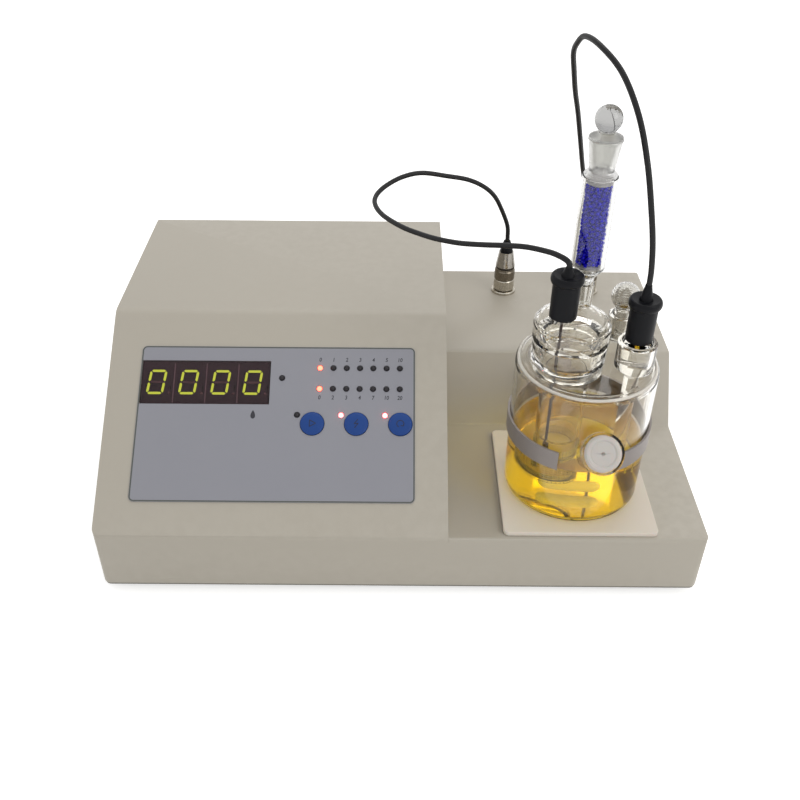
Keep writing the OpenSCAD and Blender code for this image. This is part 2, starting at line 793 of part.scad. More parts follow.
module motor_bracket() {
    w = 62;
    d = 38;
    leg_h = bridge_z - floor_z;
    color([0.66, 0.66, 0.68]) translate([cell_x, cell_y, 0]) difference() {
        union() {
            translate([-w / 2, -d / 2, bridge_z]) cube([w, d, plate_t]);
            for (s = [-1, 1]) {
                translate([s * w / 2 - (s > 0 ? plate_t : 0), -d / 2, floor_z])
                    cube([plate_t, d, leg_h + plate_t]);
                translate([s * w / 2 - (s > 0 ? 0 : 11), -d / 2, floor_z]) cube([11, d, plate_t]);
            }
        }
        hole(0, 0, bridge_z - over, shaft_d + 3, plate_t + 2 * over);
        for (s = [-1, 1]) for (v = [-1, 1])
            hole(s * (w / 2 + 6), v * 12, floor_z - over, screw_d + hole_play, plate_t + 2 * over);
    }
}

module magnet_carrier() {
    color([0.20, 0.20, 0.22]) translate([cell_x, cell_y, carrier_z]) difference() {
        union() {
            cylinder(h = carrier_t, r = magnet_r + 8, $fn = mid);
            cylinder(h = carrier_t + 2, d = 12, $fn = mid);
        }
        translate([0, 0, -over])
            cylinder(h = carrier_t - 1 + 0.1 + over, d = shaft_d + 2 * shaft_play, $fn = mid);
    }
}

module drive_magnets() {
    color([0.70, 0.70, 0.74]) for (s = [-1, 1])
        translate([cell_x + s * magnet_r, cell_y, carrier_z + carrier_t])
            cylinder(h = magnet_h, d = 10, $fn = mid);
}

// Rear panel: mains inlet with a fuse drawer, rocker switch and stir speed control

inlet_flange_t = 2.4;
inlet_screw_x = 20;
recess_w = 24.4;
recess_h = 16.6;
recess_l = 16.5;
drawer_w = 22;
drawer_h = 7.4;
drawer_l = 15;
inlet_flange_w = inlet_w + 25;
recess_low = -inlet_h / 2 + 1.6;
drawer_low = recess_low + recess_h + 2;

// Places its children on the rear panel: x as seen from the front, y into the housing, z up
module on_rear(x, z) {
    translate([x, rear_y, z]) mirror([0, 1, 0]) children();
}

module mains_inlet() {
    body_l = 22;
    color([0.09, 0.09, 0.10]) on_rear(inlet_px, inlet_pz) {
        difference() {
            union() {
                translate([-inlet_w / 2, 0, -inlet_h / 2]) cube([inlet_w, body_l, inlet_h]);
                rotate([90, 0, 0]) translate([-inlet_flange_w / 2, -inlet_h / 2 - 1, 0])
                    rounded_plate(inlet_flange_w, inlet_h + 2, inlet_flange_t, 4);
            }
            translate([0, recess_l, recess_low]) rotate([90, 0, 0])
                linear_extrude(recess_l + inlet_flange_t + over)
                    polygon([
                        [-recess_w / 2, 0], [recess_w / 2, 0], [recess_w / 2, recess_h - 5],
                        [recess_w / 2 - 5, recess_h], [-recess_w / 2 + 5, recess_h],
                        [-recess_w / 2, recess_h - 5]
                    ]);
            translate([-drawer_w / 2 - 0.3, -inlet_flange_t - over, drawer_low - 0.3])
                cube([drawer_w + 0.6, drawer_l + inlet_flange_t + over + 0.3, drawer_h + 0.6]);
            for (s = [-1, 1])
                translate([s * inlet_screw_x, over, 0]) rotate([90, 0, 0])
                    cylinder(h = inlet_flange_t + 2 * over, d = screw_d + hole_play, $fn = small);
        }
        for (p = [[-7, 5], [7, 5], [0, 9]])
            translate([p.x - 1, recess_l - 10, recess_low + p.y - 2]) cube([2, 10, 4]);
    }
}

module fuse_drawer() {
    color([0.13, 0.13, 0.14]) on_rear(inlet_px, inlet_pz) translate([0, 0, drawer_low]) difference() {
        union() {
            translate([-drawer_w / 2, -inlet_flange_t, 0])
                cube([drawer_w, drawer_l + inlet_flange_t, drawer_h]);
            translate([-4, -inlet_flange_t - 1.2, 1.5]) cube([8, 1.2 + over, drawer_h - 3]);
        }
        translate([-drawer_w / 2 + 1.2, 0, 1.2]) cube([drawer_w - 2.4, drawer_l - 1.2, drawer_h]);
    }
}

rocker_w = 13;
rocker_h = 8.6;
rocker_tilt = 8;
pin_d = 2;
pin_l = 1.2;
pin_y = 3;

module switch_frame() {
    color([0.09, 0.09, 0.10]) on_rear(switch_px, inlet_pz) difference() {
        union() {
            translate([-switch_w / 2, 0, -switch_h / 2]) cube([switch_w, 14, switch_h]);
            rotate([90, 0, 0]) translate([-switch_w / 2 - 1, -switch_h / 2 - 1, 0])
                rounded_plate(switch_w + 2, switch_h + 2, 1.8, 1);
        }
        translate([-rocker_w / 2 - 0.4, -1.8 - over, -rocker_h / 2 - 0.4])
            cube([rocker_w + 0.8, 9 + over, rocker_h + 0.8]);
        translate([0, pin_y, -rocker_h / 2 - pin_l - 0.2])
            cylinder(h = rocker_h + 2 * pin_l + 0.4, d = pin_d + 0.1, $fn = small);
    }
}

// The rocker turns about a pin across its middle, and rests pressed in at one end
module power_rocker() {
    color([0.12, 0.12, 0.13]) on_rear(switch_px, inlet_pz)
        translate([0, pin_y, -rocker_h / 2]) rotate(rocker_tilt) {
            linear_extrude(rocker_h) polygon(concat(
                [[-rocker_w / 2 + 1.2, 1.5], [-rocker_w / 2 + 0.5, -4.2]],
                [for (k = [-3:3]) [k * (rocker_w - 3) / 6, -3.7 - 0.1 * k * k]],
                [[rocker_w / 2 - 0.5, -4.2], [rocker_w / 2 - 1.2, 1.5]]
            ));
            translate([0, 0, -pin_l]) cylinder(h = rocker_h + 2 * pin_l, d = pin_d, $fn = small);
        }
}

module speed_control() {
    color([0.55, 0.55, 0.57]) on_rear(knob_px, knob_pz) {
        translate([0, plate_t, 0]) rotate([-90, 0, 0]) cylinder(h = 9, d = 17, $fn = mid);
        translate([0, plate_t + over, 0]) rotate([90, 0, 0])
            cylinder(h = plate_t + over + 1.5, d = pot_bush_d, $fn = mid);
        rotate([90, 0, 0]) cylinder(h = 1.2, d = 11, $fn = 6);
        translate([0, -1.4, 0]) rotate([90, 0, 0]) cylinder(h = 10, d = 6, $fn = mid);
    }
}

knob_face = 2.2;
knob_l = 13;

module speed_knob() {
    r = knob_d / 2;
    color([0.12, 0.12, 0.13]) on_rear(knob_px, knob_pz)
        translate([0, -knob_face, 0]) rotate([90, 0, 0]) difference() {
            turned([
                [0, 0], [r, 0], [r, 2.4], [r * 0.86, 3.4], [r * 0.8, knob_l - 1],
                [r * 0.74, knob_l], [0, knob_l]
            ]);
            for (i = [0:17])
                rotate(i * 20 + 10) translate([r * 0.86, 0, 4])
                    cylinder(h = knob_l, d = 1.6, $fn = small);
            translate([0, 0, -over]) cylinder(h = 9.6 + over, d = 6 + 2 * shaft_play, $fn = mid);
            rotate(90) translate([r * 0.2, -0.5, knob_l - 0.5]) cube([r, 1, 1]);
        }
}

// Connectors on the rear box: sockets fixed to the housing, and the leads' plugs above them

flange_top = 2;
thread_l = 9;
plug_z = box_z + flange_top + 0.3;
ring_l = 8;
band_l = 7.5;
cone_l = 13.6;
boot_l = 8;
boot_top_d = lead_d + 1.6;
cone_top_d = 10;
ring_bore_r = thread_d / 2 + 0.3;
cup_r = thread_d / 2 - 1;
nose_r = cup_r - 0.3;
nose_z = 1.8;
pin_r = 2.3;
boot_z = plug_z + ring_l + band_l + cone_l;
lead_end_z = boot_z + boot_l;

module panel_sockets() {
    shank_l = 12;
    color([0.78, 0.78, 0.80]) for (x = connector_xs) translate([x, connector_y, box_z]) {
        difference() {
            union() {
                turned([[0, 0], [connector_flange_d / 2, 0], [connector_flange_d / 2, 1.5],
                        [connector_flange_d / 2 - 0.5, flange_top], [0, flange_top]]);
                translate([0, 0, -shank_l]) cylinder(h = shank_l + flange_top + thread_l, d = thread_d, $fn = mid);
            }
            translate([0, 0, flange_top + 1.5]) cylinder(h = thread_l, r = cup_r, $fn = mid);
            translate([0, 0, -shank_l - over]) cylinder(h = shank_l / 2, r = cup_r, $fn = mid);
        }
        for (a = [0:120:359])
            rotate(a) translate([pin_r, 0, flange_top + 1]) cylinder(h = 5, d = 1, $fn = small);
        translate([0, 0, -sheet_t - 2.5]) difference() {
            cylinder(h = 2.5, d = 17, $fn = 6);
            translate([0, 0, -over]) cylinder(h = 2.5 + 2 * over, d = thread_d + 0.1, $fn = mid);
        }
    }
}

// The plug's body: a nose in the socket's cup, a dark band's seat, and a cone up to the boot
module plug(i) {
    z1 = ring_l;
    z2 = z1 + band_l;
    z3 = z2 + cone_l;
    color([0.74, 0.74, 0.76]) translate([connector_xs[i], connector_y, plug_z]) difference() {
        turned([
            [0, nose_z], [nose_r, nose_z], [nose_r, z1 + 1.2], [ring_bore_r, z1 + 1.2],
            [ring_bore_r, z1 + 0.2], [ring_d / 2, z1 + 0.2], [ring_d / 2, z2 - 0.8],
            [ring_d / 2 - 0.5, z2], [ring_d / 2 - 0.3, z2 + 3], [cone_top_d / 2, z3], [0, z3]
        ]);
        for (a = [0:120:359])
            rotate(a) translate([pin_r, 0, nose_z - over]) cylinder(h = 5.5, d = 1.8, $fn = small);
    }
}

module boot(i) {
    color([0.07, 0.07, 0.08]) translate([connector_xs[i], connector_y, boot_z])
        turned([
            [0, 0], [cone_top_d / 2 - 0.6, 0], [cone_top_d / 2 - 0.8, 2], [boot_top_d / 2, boot_l],
            [0, boot_l]
        ]);
}

// The coupling ring turns round the plug's nose and screws onto the socket
module coupling_ring(i) {
    flutes = 24;
    color([0.80, 0.80, 0.82]) translate([connector_xs[i], connector_y, plug_z]) difference() {
        turned([
            [ring_bore_r, 0], [ring_d / 2 - 0.4, 0], [ring_d / 2, 0.5], [ring_d / 2, ring_l - 0.5],
            [ring_d / 2 - 0.4, ring_l], [ring_bore_r, ring_l]
        ]);
        for (k = [0:flutes - 1])
            rotate(k * 360 / flutes) translate([ring_d / 2 + 0.25, 0, 1])
                cylinder(h = ring_l - 2, d = 0.9, $fn = 16);
    }
}

module electrolysis_plug() { plug(0); }
module measuring_plug() { plug(1); }
module electrolysis_boot() { boot(0); }
module measuring_boot() { boot(1); }
module electrolysis_ring() { coupling_ring(0); }
module measuring_ring() { coupling_ring(1); }

// Cell support: pad on the platform, and a clip band on a bracket from the rear box

module in_cell() {
    translate([cell_x, cell_y, cell_z]) children();
}

module vessel_pad() {
    color([0.93, 0.93, 0.91]) translate([cell_x + pad_x - pad_w / 2, cell_y - pad_d / 2, platform_z])
        rounded_plate(pad_w, pad_d, pad_t, 3);
}

clip_r = vessel_r + clip_gap;
rivet_x = 4;
rivet_d = 3;

module vessel_clip() {
    color([0.60, 0.59, 0.60]) in_cell() translate([0, 0, clip_z]) difference() {
        cylinder(h = clip_w, r = clip_r + clip_t, $fn = fine);
        translate([0, 0, -over]) cylinder(h = clip_w + 2 * over, r = clip_r, $fn = fine);
        translate([-clip_mouth / 2, -2 * clip_r, -over]) cube([clip_mouth, 2 * clip_r, clip_w + 2 * over]);
        for (s = [-1, 1])
            translate([s * rivet_x, clip_r - 3, clip_w / 2]) rotate([-90, 0, 0])
                cylinder(h = 8, d = rivet_d + 0.2, $fn = small);
    }
}

clip_back_y = cell_y + clip_r + clip_t;
tab_gap = 0.3;

module clip_bracket() {
    tab_y = clip_back_y + tab_gap - front_y;
    arm_z = apron_h + pad_t + clip_z;
    foot_y = bracket_foot_y - front_y;
    color([0.66, 0.66, 0.68]) difference() {
        translate([cell_x - bracket_w / 2, front_y, foot_h]) rotate([90, 0, 90]) linear_extrude(bracket_w)
            polygon([
                [tab_y, arm_z + clip_w], [tab_y, arm_z], [foot_y - 4, arm_z], [foot_y, box_h],
                [foot_y + bracket_foot_l, box_h], [foot_y + bracket_foot_l, box_h + bracket_t],
                [foot_y + 1, box_h + bracket_t], [foot_y - 3, arm_z + bracket_t],
                [tab_y + bracket_t, arm_z + bracket_t], [tab_y + bracket_t, arm_z + clip_w]
            ]);
        for (y = bracket_screws)
            hole(cell_x, y, box_z - over, screw_d + hole_play, bracket_t + 2 * over);
        for (s = [-1, 1])
            translate([cell_x + s * rivet_x, clip_back_y, cell_z + clip_z + clip_w / 2]) rotate([-90, 0, 0])
                cylinder(h = 4, d = rivet_d + 0.2, $fn = small);
    }
}

module clip_fasteners() {
    color([0.72, 0.72, 0.74]) {
        for (y = bracket_screws)
            translate([cell_x, y, box_z + bracket_t]) pan_screw(bracket_t + sheet_t + 4);
        for (s = [-1, 1])
            translate([cell_x + s * rivet_x, clip_back_y - clip_t, cell_z + clip_z + clip_w / 2])
                rotate([-90, 0, 0]) turned([
                    [0, 0.1], [rivet_d / 2, 0.1], [rivet_d / 2, clip_t + tab_gap + bracket_t],
                    [rivet_d / 2 + 1, clip_t + tab_gap + bracket_t],
                    [rivet_d / 2 + 0.4, clip_t + tab_gap + bracket_t + 1],
                    [0, clip_t + tab_gap + bracket_t + 1.3]
                ], small);
    }
}

// Ground joints: a cone that narrows by a tenth of its length, as laboratory glass has

taper = 0.1;

// Bore or plug of a ground joint: its top diameter at z = 0, running down by l
module ground_cone(top_d, l, n = mid) {
    translate([0, 0, -l]) cylinder(h = l, d1 = top_d - taper * l, d2 = top_d, $fn = n);
}

wide_bore_d = wide_neck_d - 2 * glass_t - 0.6;
wide_joint_l = wide_neck_z - vessel_h + 4;
probe_bore_d = probe_neck_d - 2 * glass_t;
probe_joint_l = 18;
small_bore_d = small_neck_d - 2 * glass_t;
small_joint_l = 16;
port_l = 26;
port_bore_d = septum_d + 0.3;

// Places its children at the injection port's face, z pointing out along the port
module on_port() {
    in_cell() translate([port_x, -port_reach, port_z]) rotate([90 - port_tilt, 0, 0]) children();
}

// The vessel's body turned from its wall line, moved inwards by t
module vessel_body(t) {
    r = vessel_r - t;
    top = vessel_h - t;
    foot = max(vessel_foot_r - t, 0.5);
    shoulder = max(shoulder_r - t, 0.5);
    turned(concat(
        [[0, t]],
        corner([0, t], [r, t], [r, top], foot),
        corner([r, t], [r, top], [0, top + crown_h], shoulder),
        [[0, top + crown_h]]
    ), fine);
}

// The wide neck: a fillet from the shoulder, and a rim that stands out
module wide_neck() {
    r = wide_neck_d / 2;
    f = neck_fillet_r;
    low = vessel_h + 0.8;
    turned(concat(
        [[0, vessel_h - 6], [r, vessel_h - 6], [r + f, low]],
        [for (k = [1:steps]) let (a = 270 - 90 * k / steps) [r + f + f * cos(a), low + f + f * sin(a)]],
        [[r, wide_neck_z - 5.6], [r + lip_t, wide_neck_z - 5], [r + lip_t, wide_neck_z - 0.5],
         [r + lip_t - 0.5, wide_neck_z], [0, wide_neck_z]]
    ), fine);
}

module reaction_vessel() {
    color([0.85, 0.90, 0.92, 0.4]) difference() {
        union() {
            in_cell() {
                vessel_body(0);
                translate([chamber_x, 0, 0]) wide_neck();
                translate([probe_x, probe_y, vessel_h - 4])
                    cylinder(h = probe_neck_z - vessel_h + 4, d = probe_neck_d, $fn = mid);
                translate([small_x, small_y, vessel_h - 4])
                    cylinder(h = small_neck_z - vessel_h + 4, d = small_neck_d, $fn = mid);
            }
            on_port() translate([0, 0, -port_l]) cylinder(h = port_l, d = port_d, $fn = mid);
        }
        in_cell() {
            difference() {
                vessel_body(glass_t);
                // The wide neck runs on a little inside the vessel, so that its joint has its full length
                translate([chamber_x, 0, wide_neck_z - wide_joint_l - 2])
                    cylinder(h = 20, d = wide_neck_d, $fn = fine);
            }
            translate([chamber_x, 0, wide_neck_z]) ground_cone(wide_bore_d, wide_joint_l + 3, fine);
            translate([probe_x, probe_y, probe_neck_z]) ground_cone(probe_bore_d, probe_joint_l + 6);
            translate([small_x, small_y, small_neck_z]) ground_cone(small_bore_d, small_joint_l + 6);
        }
        on_port() translate([0, 0, -port_l - over])
            cylinder(h = port_l + 2 * over, d = port_bore_d, $fn = mid);
    }
}

stir_z = glass_t + stir_d / 2 + 0.2 + seat_gap;
wet_gap = 0.2;

// The reagent stays clear of the stir bar's sweep, the chamber and the measuring electrode
module electrolyte() {
    run = 0.4;
    color([0.90, 0.68, 0.10, 0.75]) in_cell() difference() {
        intersection() {
            vessel_body(glass_t + wet_gap);
            cylinder(h = liquid_h, r = vessel_r, $fn = fine);
        }
        cylinder(h = glass_t + stir_d + 1.5, r = stir_l / 2 + 1, $fn = mid);
        translate([chamber_x, 0, tube_z - mesh_l - 1])
            cylinder(h = liquid_h, r = tube_d / 2 + mesh_t + run, $fn = mid);
        translate([probe_x, probe_y, pin_low - 1])
            cylinder(h = liquid_h, d = stem_d + 2 * run, $fn = mid);
    }
}

module injection_septum() {
    r = septum_d / 2;
    color([0.90, 0.90, 0.90]) on_port() turned([
        [0, -septum_t], [r - 0.8, -septum_t], [r, -septum_t + 1], [r, -0.4], [r - 1.2, 0.6],
        [r - 2.6, 0.6], [r - 3.6, -0.2], [0, -0.2]
    ]);
}

module stir_bar() {
    r = stir_d / 2;
    h = stir_l / 2 - r;
    color([0.95, 0.95, 0.94]) in_cell() translate([0, 0, stir_z]) rotate([0, 90, 0])
        union() {
            turned(concat(arc(-h, r, r, -90, 0, 5), arc(h, r, r, 0, 90, 5)), small);
            translate([0, 0, -1]) cylinder(h = 2, r = r + 0.2, $fn = small);
        }
}

// Cathode chamber: a tube with a ground cone, a flat collar that rests on the wide neck, and a domed head

mesh_t = 0.6;
mesh_l = 1.5;
cap_z = wide_neck_z + head_h + dome_h + 0.5;
cap_bore_d = cap_d - 3;
cap_neck_d = cap_bore_d - 0.4;
dryer_neck_d = 10;
dryer_neck_top = cap_z + 11;
dryer_bore_d = 7;
dryer_joint_l = 12;
head_t = 1.6;

module cathode_chamber() {
    head_z = wide_neck_z + seat_gap;
    dome_z = wide_neck_z + head_h;
    r = head_d / 2;
    tube_r = tube_d / 2;
    cone_top = wide_bore_d / 2 - joint_gap;
    cone_low = cone_top - taper * wide_joint_l / 2;
    cone_z = wide_neck_z - wide_joint_l;
    tube_in = tube_r - glass_t * 0.8;
    color([0.88, 0.92, 0.94, 0.4]) in_cell() difference() {
        union() {
            translate([chamber_x, 0, 0]) turned(concat(
                [[0, tube_z], [tube_r, tube_z], [tube_r, cone_z - 3], [cone_low, cone_z]],
                [[cone_top, wide_neck_z]],
                [[cone_top, head_z], [r, head_z], [r, dome_z]],
                [for (p = arc(dome_z, r, dome_h, 0, 90)) if (p.y > dome_z) p]
            ), fine);
            translate([electrode_x, electrode_y, dome_z])
                cylinder(h = cap_z + cap_l - 6 - dome_z, d = cap_neck_d, $fn = mid);
            translate([dryer_x, dryer_y, dome_z])
                cylinder(h = dryer_neck_top - dome_z, d = dryer_neck_d, $fn = mid);
        }
        translate([chamber_x, 0, 0]) turned(concat(
            [[0, tube_z - over], [tube_in, tube_z - over], [tube_in, cone_z - 2],
             [cone_low - glass_t * 1.2, cone_z + 1], [cone_top - glass_t * 1.2, wide_neck_z + 1],
             [r - head_t, head_z + head_t + 1], [r - head_t, dome_z]],
            [for (p = arc(dome_z, r - head_t, dome_h - head_t, 0, 90)) if (p.y > dome_z) p]
        ), fine);
        translate([electrode_x, electrode_y, dome_z + 1])
            cylinder(h = cap_l + 20, d = cap_neck_d - 3, $fn = mid);
        translate([dryer_x, dryer_y, dryer_neck_top]) ground_cone(dryer_bore_d, dryer_joint_l + 8);
    }
}

frit_t = 2.5;
frit_z = tube_z + 0.5;

module catholyte() {
    low = frit_z + frit_t + wet_gap;
    color([0.88, 0.64, 0.10, 0.75]) in_cell() difference() {
        translate([chamber_x, 0, low])
            cylinder(h = liquid_h - low, r = tube_d / 2 - glass_t * 0.8 - wet_gap, $fn = fine);
        translate([electrode_x, electrode_y, stem_low - 1])
            cylinder(h = liquid_h, r = gauze_r + 0.4, $fn = mid);
    }
}

module diaphragm() {
    color([0.95, 0.93, 0.88]) in_cell() translate([chamber_x, 0, frit_z])
        cylinder(h = frit_t, r = tube_d / 2 - glass_t * 0.8, $fn = fine);
}

// A platinum mesh wrapped round the tube's lower end
module anode_mesh() {
    r = tube_d / 2;
    l = 12;
    color([0.72, 0.72, 0.74]) in_cell() translate([chamber_x, 0, tube_z - mesh_l]) difference() {
        cylinder(h = l + mesh_l, r = r + mesh_t, $fn = mid);
        translate([0, 0, -over]) cylinder(h = l + mesh_l + 2 * over, r = r, $fn = mid);
        for (k = [0:15]) for (v = [0:2])
            rotate(k * 22.5) translate([r - 1, -1.9, 1 + v * 4.2]) cube([3, 3.8, 3.2]);
    }
}

// The black cap of an electrode: a cup with a rolled rim and a tapered sleeve for the lead
module cap(x, y, z, sleeve) {
    r = cap_d / 2;
    rim = cap_rim_d / 2;
    roll = cap_rim_h / 2;
    color([0.06, 0.06, 0.07]) in_cell() translate([x, y, z]) difference() {
        turned(concat(
            [[0, 0], [r - 0.5, 0], [r, 0.5], [r, cap_l - 0.6]],
            [for (k = [0:8]) let (a = -90 + 180 * k / 8)
                [rim - roll * 0.6 + roll * 0.6 * cos(a), cap_l + roll + roll * sin(a)]],
            [[3.6, cap_l + cap_rim_h - 0.6], [2.9, cap_l + cap_rim_h + sleeve / 4],
             [lead_d / 2 + 0.2, cap_l + cap_rim_h + sleeve], [0, cap_l + cap_rim_h + sleeve]]
        ));
        translate([0, 0, -over]) cylinder(h = cap_l - 4 + over, d = cap_bore_d, $fn = mid);
    }
}

module electrolysis_cap() { cap(electrode_x, electrode_y, cap_z, short_sleeve_l); }
module measuring_cap() { cap(probe_x, probe_y, probe_cap_z, sleeve_l); }

wire_d = 1.6;
gauze_r = 1.7;
stem_low = tube_z + 5;

// A sheathed wire from the cap down to a small platinum gauze above the diaphragm
module electrolysis_stem() {
    top = cap_z + cap_l - 4;
    color([0.35, 0.30, 0.28]) in_cell() translate([electrode_x, electrode_y, 0]) {
        translate([0, 0, stem_low]) cylinder(h = top - stem_low, d = wire_d, $fn = small);
        translate([0, 0, top - 1.5]) cylinder(h = 1.5, d = cap_bore_d - 0.1, $fn = mid);
        for (k = [0:4])
            translate([0, 0, stem_low + 0.5 + k * 2.2]) cylinder(h = 0.8, r = gauze_r, $fn = mid);
    }
}

stem_d = 8;
pin_low = 20;
stem_end = 28;
probe_cap_z = probe_neck_z + 2;

// Glass body of the measuring electrode: ground cone in the neck, collar, and tube into the reagent
module measuring_stem() {
    cone_top = probe_bore_d / 2 - joint_gap;
    cone_low = cone_top - taper * probe_joint_l / 2;
    r = stem_d / 2;
    z = probe_neck_z;
    color([0.85, 0.90, 0.93, 0.45]) in_cell() translate([probe_x, probe_y, 0]) turned(concat(
        [[0, stem_end], [r - 1.5, stem_end], [r, stem_end + 1.5], [r, z - probe_joint_l - 4],
         [cone_low, z - probe_joint_l], [cone_top, z + seat_gap]],
        [[probe_neck_d / 2 - 1, z + seat_gap], [probe_neck_d / 2 - 1, z + 1.6]],
        [[cap_bore_d / 2 - 0.2, z + 2], [cap_bore_d / 2 - 0.2, probe_cap_z + cap_l - 4],
         [0, probe_cap_z + cap_l - 4]]
    ));
}

module measuring_pins() {
    color([0.80, 0.80, 0.83]) in_cell() for (s = [-1, 1])
        translate([probe_x + s * 1.8, probe_y, pin_low]) {
            cylinder(h = stem_end - pin_low, d = 0.8, $fn = 16);
            sphere(d = 1.5, $fn = 16);
        }
}

// Hollow glass stopper of the small neck: ground cone, waist and a blown ball
module port_stopper() {
    top = small_bore_d / 2 - joint_gap;
    low = top - taper * small_joint_l / 2;
    r = stopper_ball_d / 2;
    waist = 4.2;
    z = small_neck_z;
    ball_z = z + 3.5 + r;
    dip = asin(waist / r);
    color([0.88, 0.92, 0.94, 0.4]) in_cell() translate([small_x, small_y, 0]) difference() {
        turned(concat(
            [[0, z - small_joint_l], [low, z - small_joint_l], [top, z + 0.1]],
            [[top + 0.8, z + 0.5], [waist, z + 3]],
            arc(ball_z, r, r, dip - 90, 90, 14)
        ));
        turned(concat(
            [[0, z - small_joint_l + 1.5], [low - 1.2, z - small_joint_l + 1.5]],
            [[top - 1.2, z - 0.5], [waist - 1.2, z + 3.2]],
            arc(ball_z, r - 1.1, r - 1.1, asin((waist - 1.2) / (r - 1.1)) - 90, 90, 14)
        ));
    }
}

// Drying tube over the chamber: ground tip, bulb bottom, straight tube, and a flared socket

dryer_z = dryer_neck_top + 4;
dryer_tube_z = dryer_z + 5.5;
dryer_top = dryer_tube_z + dryer_l;
socket_low_d = socket_d - 3.6;
gel_gap = 0.2;
// Lower and upper cotton plug, and the glass bend that each keeps clear of
low_plug_l = 1.4;
high_plug_l = 2.4;
low_bend = 1;
high_bend = 2.5;

module drying_tube() {
    r = dryer_d / 2;
    tip = dryer_bore_d / 2 - joint_gap;
    tip_low = tip - taper * dryer_joint_l / 2;
    tip_z = dryer_neck_top - dryer_joint_l;
    s = socket_d / 2;
    sl = socket_low_d / 2;
    t = dryer_t;
    st = dryer_top + 1.6;
    color([0.88, 0.92, 0.94, 0.4]) in_cell() translate([dryer_x, dryer_y, 0]) turned([
        [1.2, tip_z], [tip_low, tip_z], [tip, dryer_neck_top], [tip + 1, dryer_neck_top + 1.5],
        [tip + 1.2, dryer_z],
        [r - 1.6, dryer_tube_z - 2], [r, dryer_tube_z], [r, dryer_top - 1.4], [r - 1, dryer_top],
        [sl, st], [s, st + socket_h - 1.5], [s + 0.4, st + socket_h - 0.5], [s, st + socket_h],
        [s - t, st + socket_h], [sl - t, st + 0.6], [sl - t, dryer_top - 0.4],
        [r - t, dryer_top - 2.2], [r - t, dryer_tube_z + 0.8], [r - t - 1.6, dryer_tube_z - 0.8],
        [1.2, dryer_z + 1]
    ]);
}

module silica_gel() {
    color([0.20, 0.12, 0.55]) in_cell() translate([dryer_x, dryer_y, dryer_tube_z + low_bend + low_plug_l])
        cylinder(
            h = dryer_l - low_bend - low_plug_l - high_plug_l - high_bend,
            r = dryer_d / 2 - dryer_t - gel_gap, $fn = mid
        );
}

module cotton_plugs() {
    r = dryer_d / 2 - dryer_t - gel_gap;
    color([0.95, 0.95, 0.94]) in_cell() translate([dryer_x, dryer_y, 0]) {
        translate([0, 0, dryer_tube_z + low_bend]) cylinder(h = low_plug_l, r = r, $fn = mid);
        translate([0, 0, dryer_top - high_bend - high_plug_l]) turned(concat(
            [[0, 0], [r, 0], [r, high_plug_l - 1]], arc(high_plug_l - 1, r - 0.8, 1.6, 0, 90, 4)
        ));
    }
}

module drying_tube_stopper() {
    st = dryer_top + 1.6;
    z = st + socket_h;
    top = socket_d / 2 - dryer_t - joint_gap;
    flare = (socket_d - socket_low_d) / 2 / (socket_h - 2.1);
    low_z = st + 3;
    low = top - flare * (z - low_z);
    r = ball_d / 2;
    neck = 2.6;
    roof = socket_d / 2 + 0.1;
    ball_z = z + 2.5 + r;
    color([0.88, 0.92, 0.94, 0.45]) in_cell() translate([dryer_x, dryer_y, 0]) turned(concat(
        [[0, low_z], [low - 0.4, low_z], [low, low_z + 0.4], [top, z - 0.3], [top, z + seat_gap]],
        [[roof, z + seat_gap], [roof, z + seat_gap + 0.5], [neck + 0.6, z + 3], [neck, z + 3.6]],
        arc(ball_z, r, r, asin(neck / r) - 90, 90, 16)
    ));
}

// Leads: the points that each one runs through, from its cap to its plug, chosen by hand

cap_exit_z = cell_z + cap_z + cap_l + cap_rim_h + short_sleeve_l;
probe_exit_z = cell_z + probe_cap_z + cap_l + cap_rim_h + sleeve_l;

electrolysis_route = [
    [cell_x + electrode_x, cell_y + electrode_y, cap_exit_z],
    [cell_x + electrode_x, cell_y + electrode_y, cap_exit_z + 1.5],
    [82.4, -76, 199.5], [79, -73, 200.4], [74, -69, 200.6], [64, -60, 198.5], [54, -51, 194.6],
    [43, -41, 189.7], [31, -30.5, 185.1], [19, -20, 182.1], [9, -9, 179.8], [-1, 2, 178.6],
    [-12, 18, 178], [-17, 31, 179], [-16, 40, 181],
    [-10, 47, 184], [0, 53, 187], [12, 59, 187], [28, 66, 182], [42, 72, 177], [53, 77, 170],
    [61, 82, 161], [67, 86.5, 149], [72, 90, 136],
    [connector_xs[0], connector_y, lead_end_z + 3], [connector_xs[0], connector_y, lead_end_z]
];

measuring_route = [
    [cell_x + probe_x, cell_y + probe_y, probe_exit_z],
    [cell_x + probe_x, cell_y + probe_y, probe_exit_z + 3],
    [124.3, -80, 198], [123, -79, 210], [120.4, -77, 225],
    [116.5, -69, 247], [112, -55, 266], [105, -38, 281], [96, -22, 289], [91, -6, 289],
    [89, 3, 283], [89, 10, 276], [92, 19, 264], [96, 29, 249], [101, 39, 233], [107, 51, 211],
    [113, 63, 189], [121, 77, 164], [128, 86, 143],
    [131.5, 90.4, 133],
    [connector_xs[1], connector_y, lead_end_z + 3], [connector_xs[1], connector_y, lead_end_z]
];

lead_sides = 8;

// Direction of the route at point i
function heading(p, i) = unit(p[min(i + 1, len(p) - 1)] - p[max(i - 1, 0)]);
// Across the route: the last ring's first spoke, carried on to point i
function spoke(p, i) =
    let (h = heading(p, i), s = i == 0 ? [1, 0, 0] : spoke(p, i - 1)) unit(s - h * (s * h));
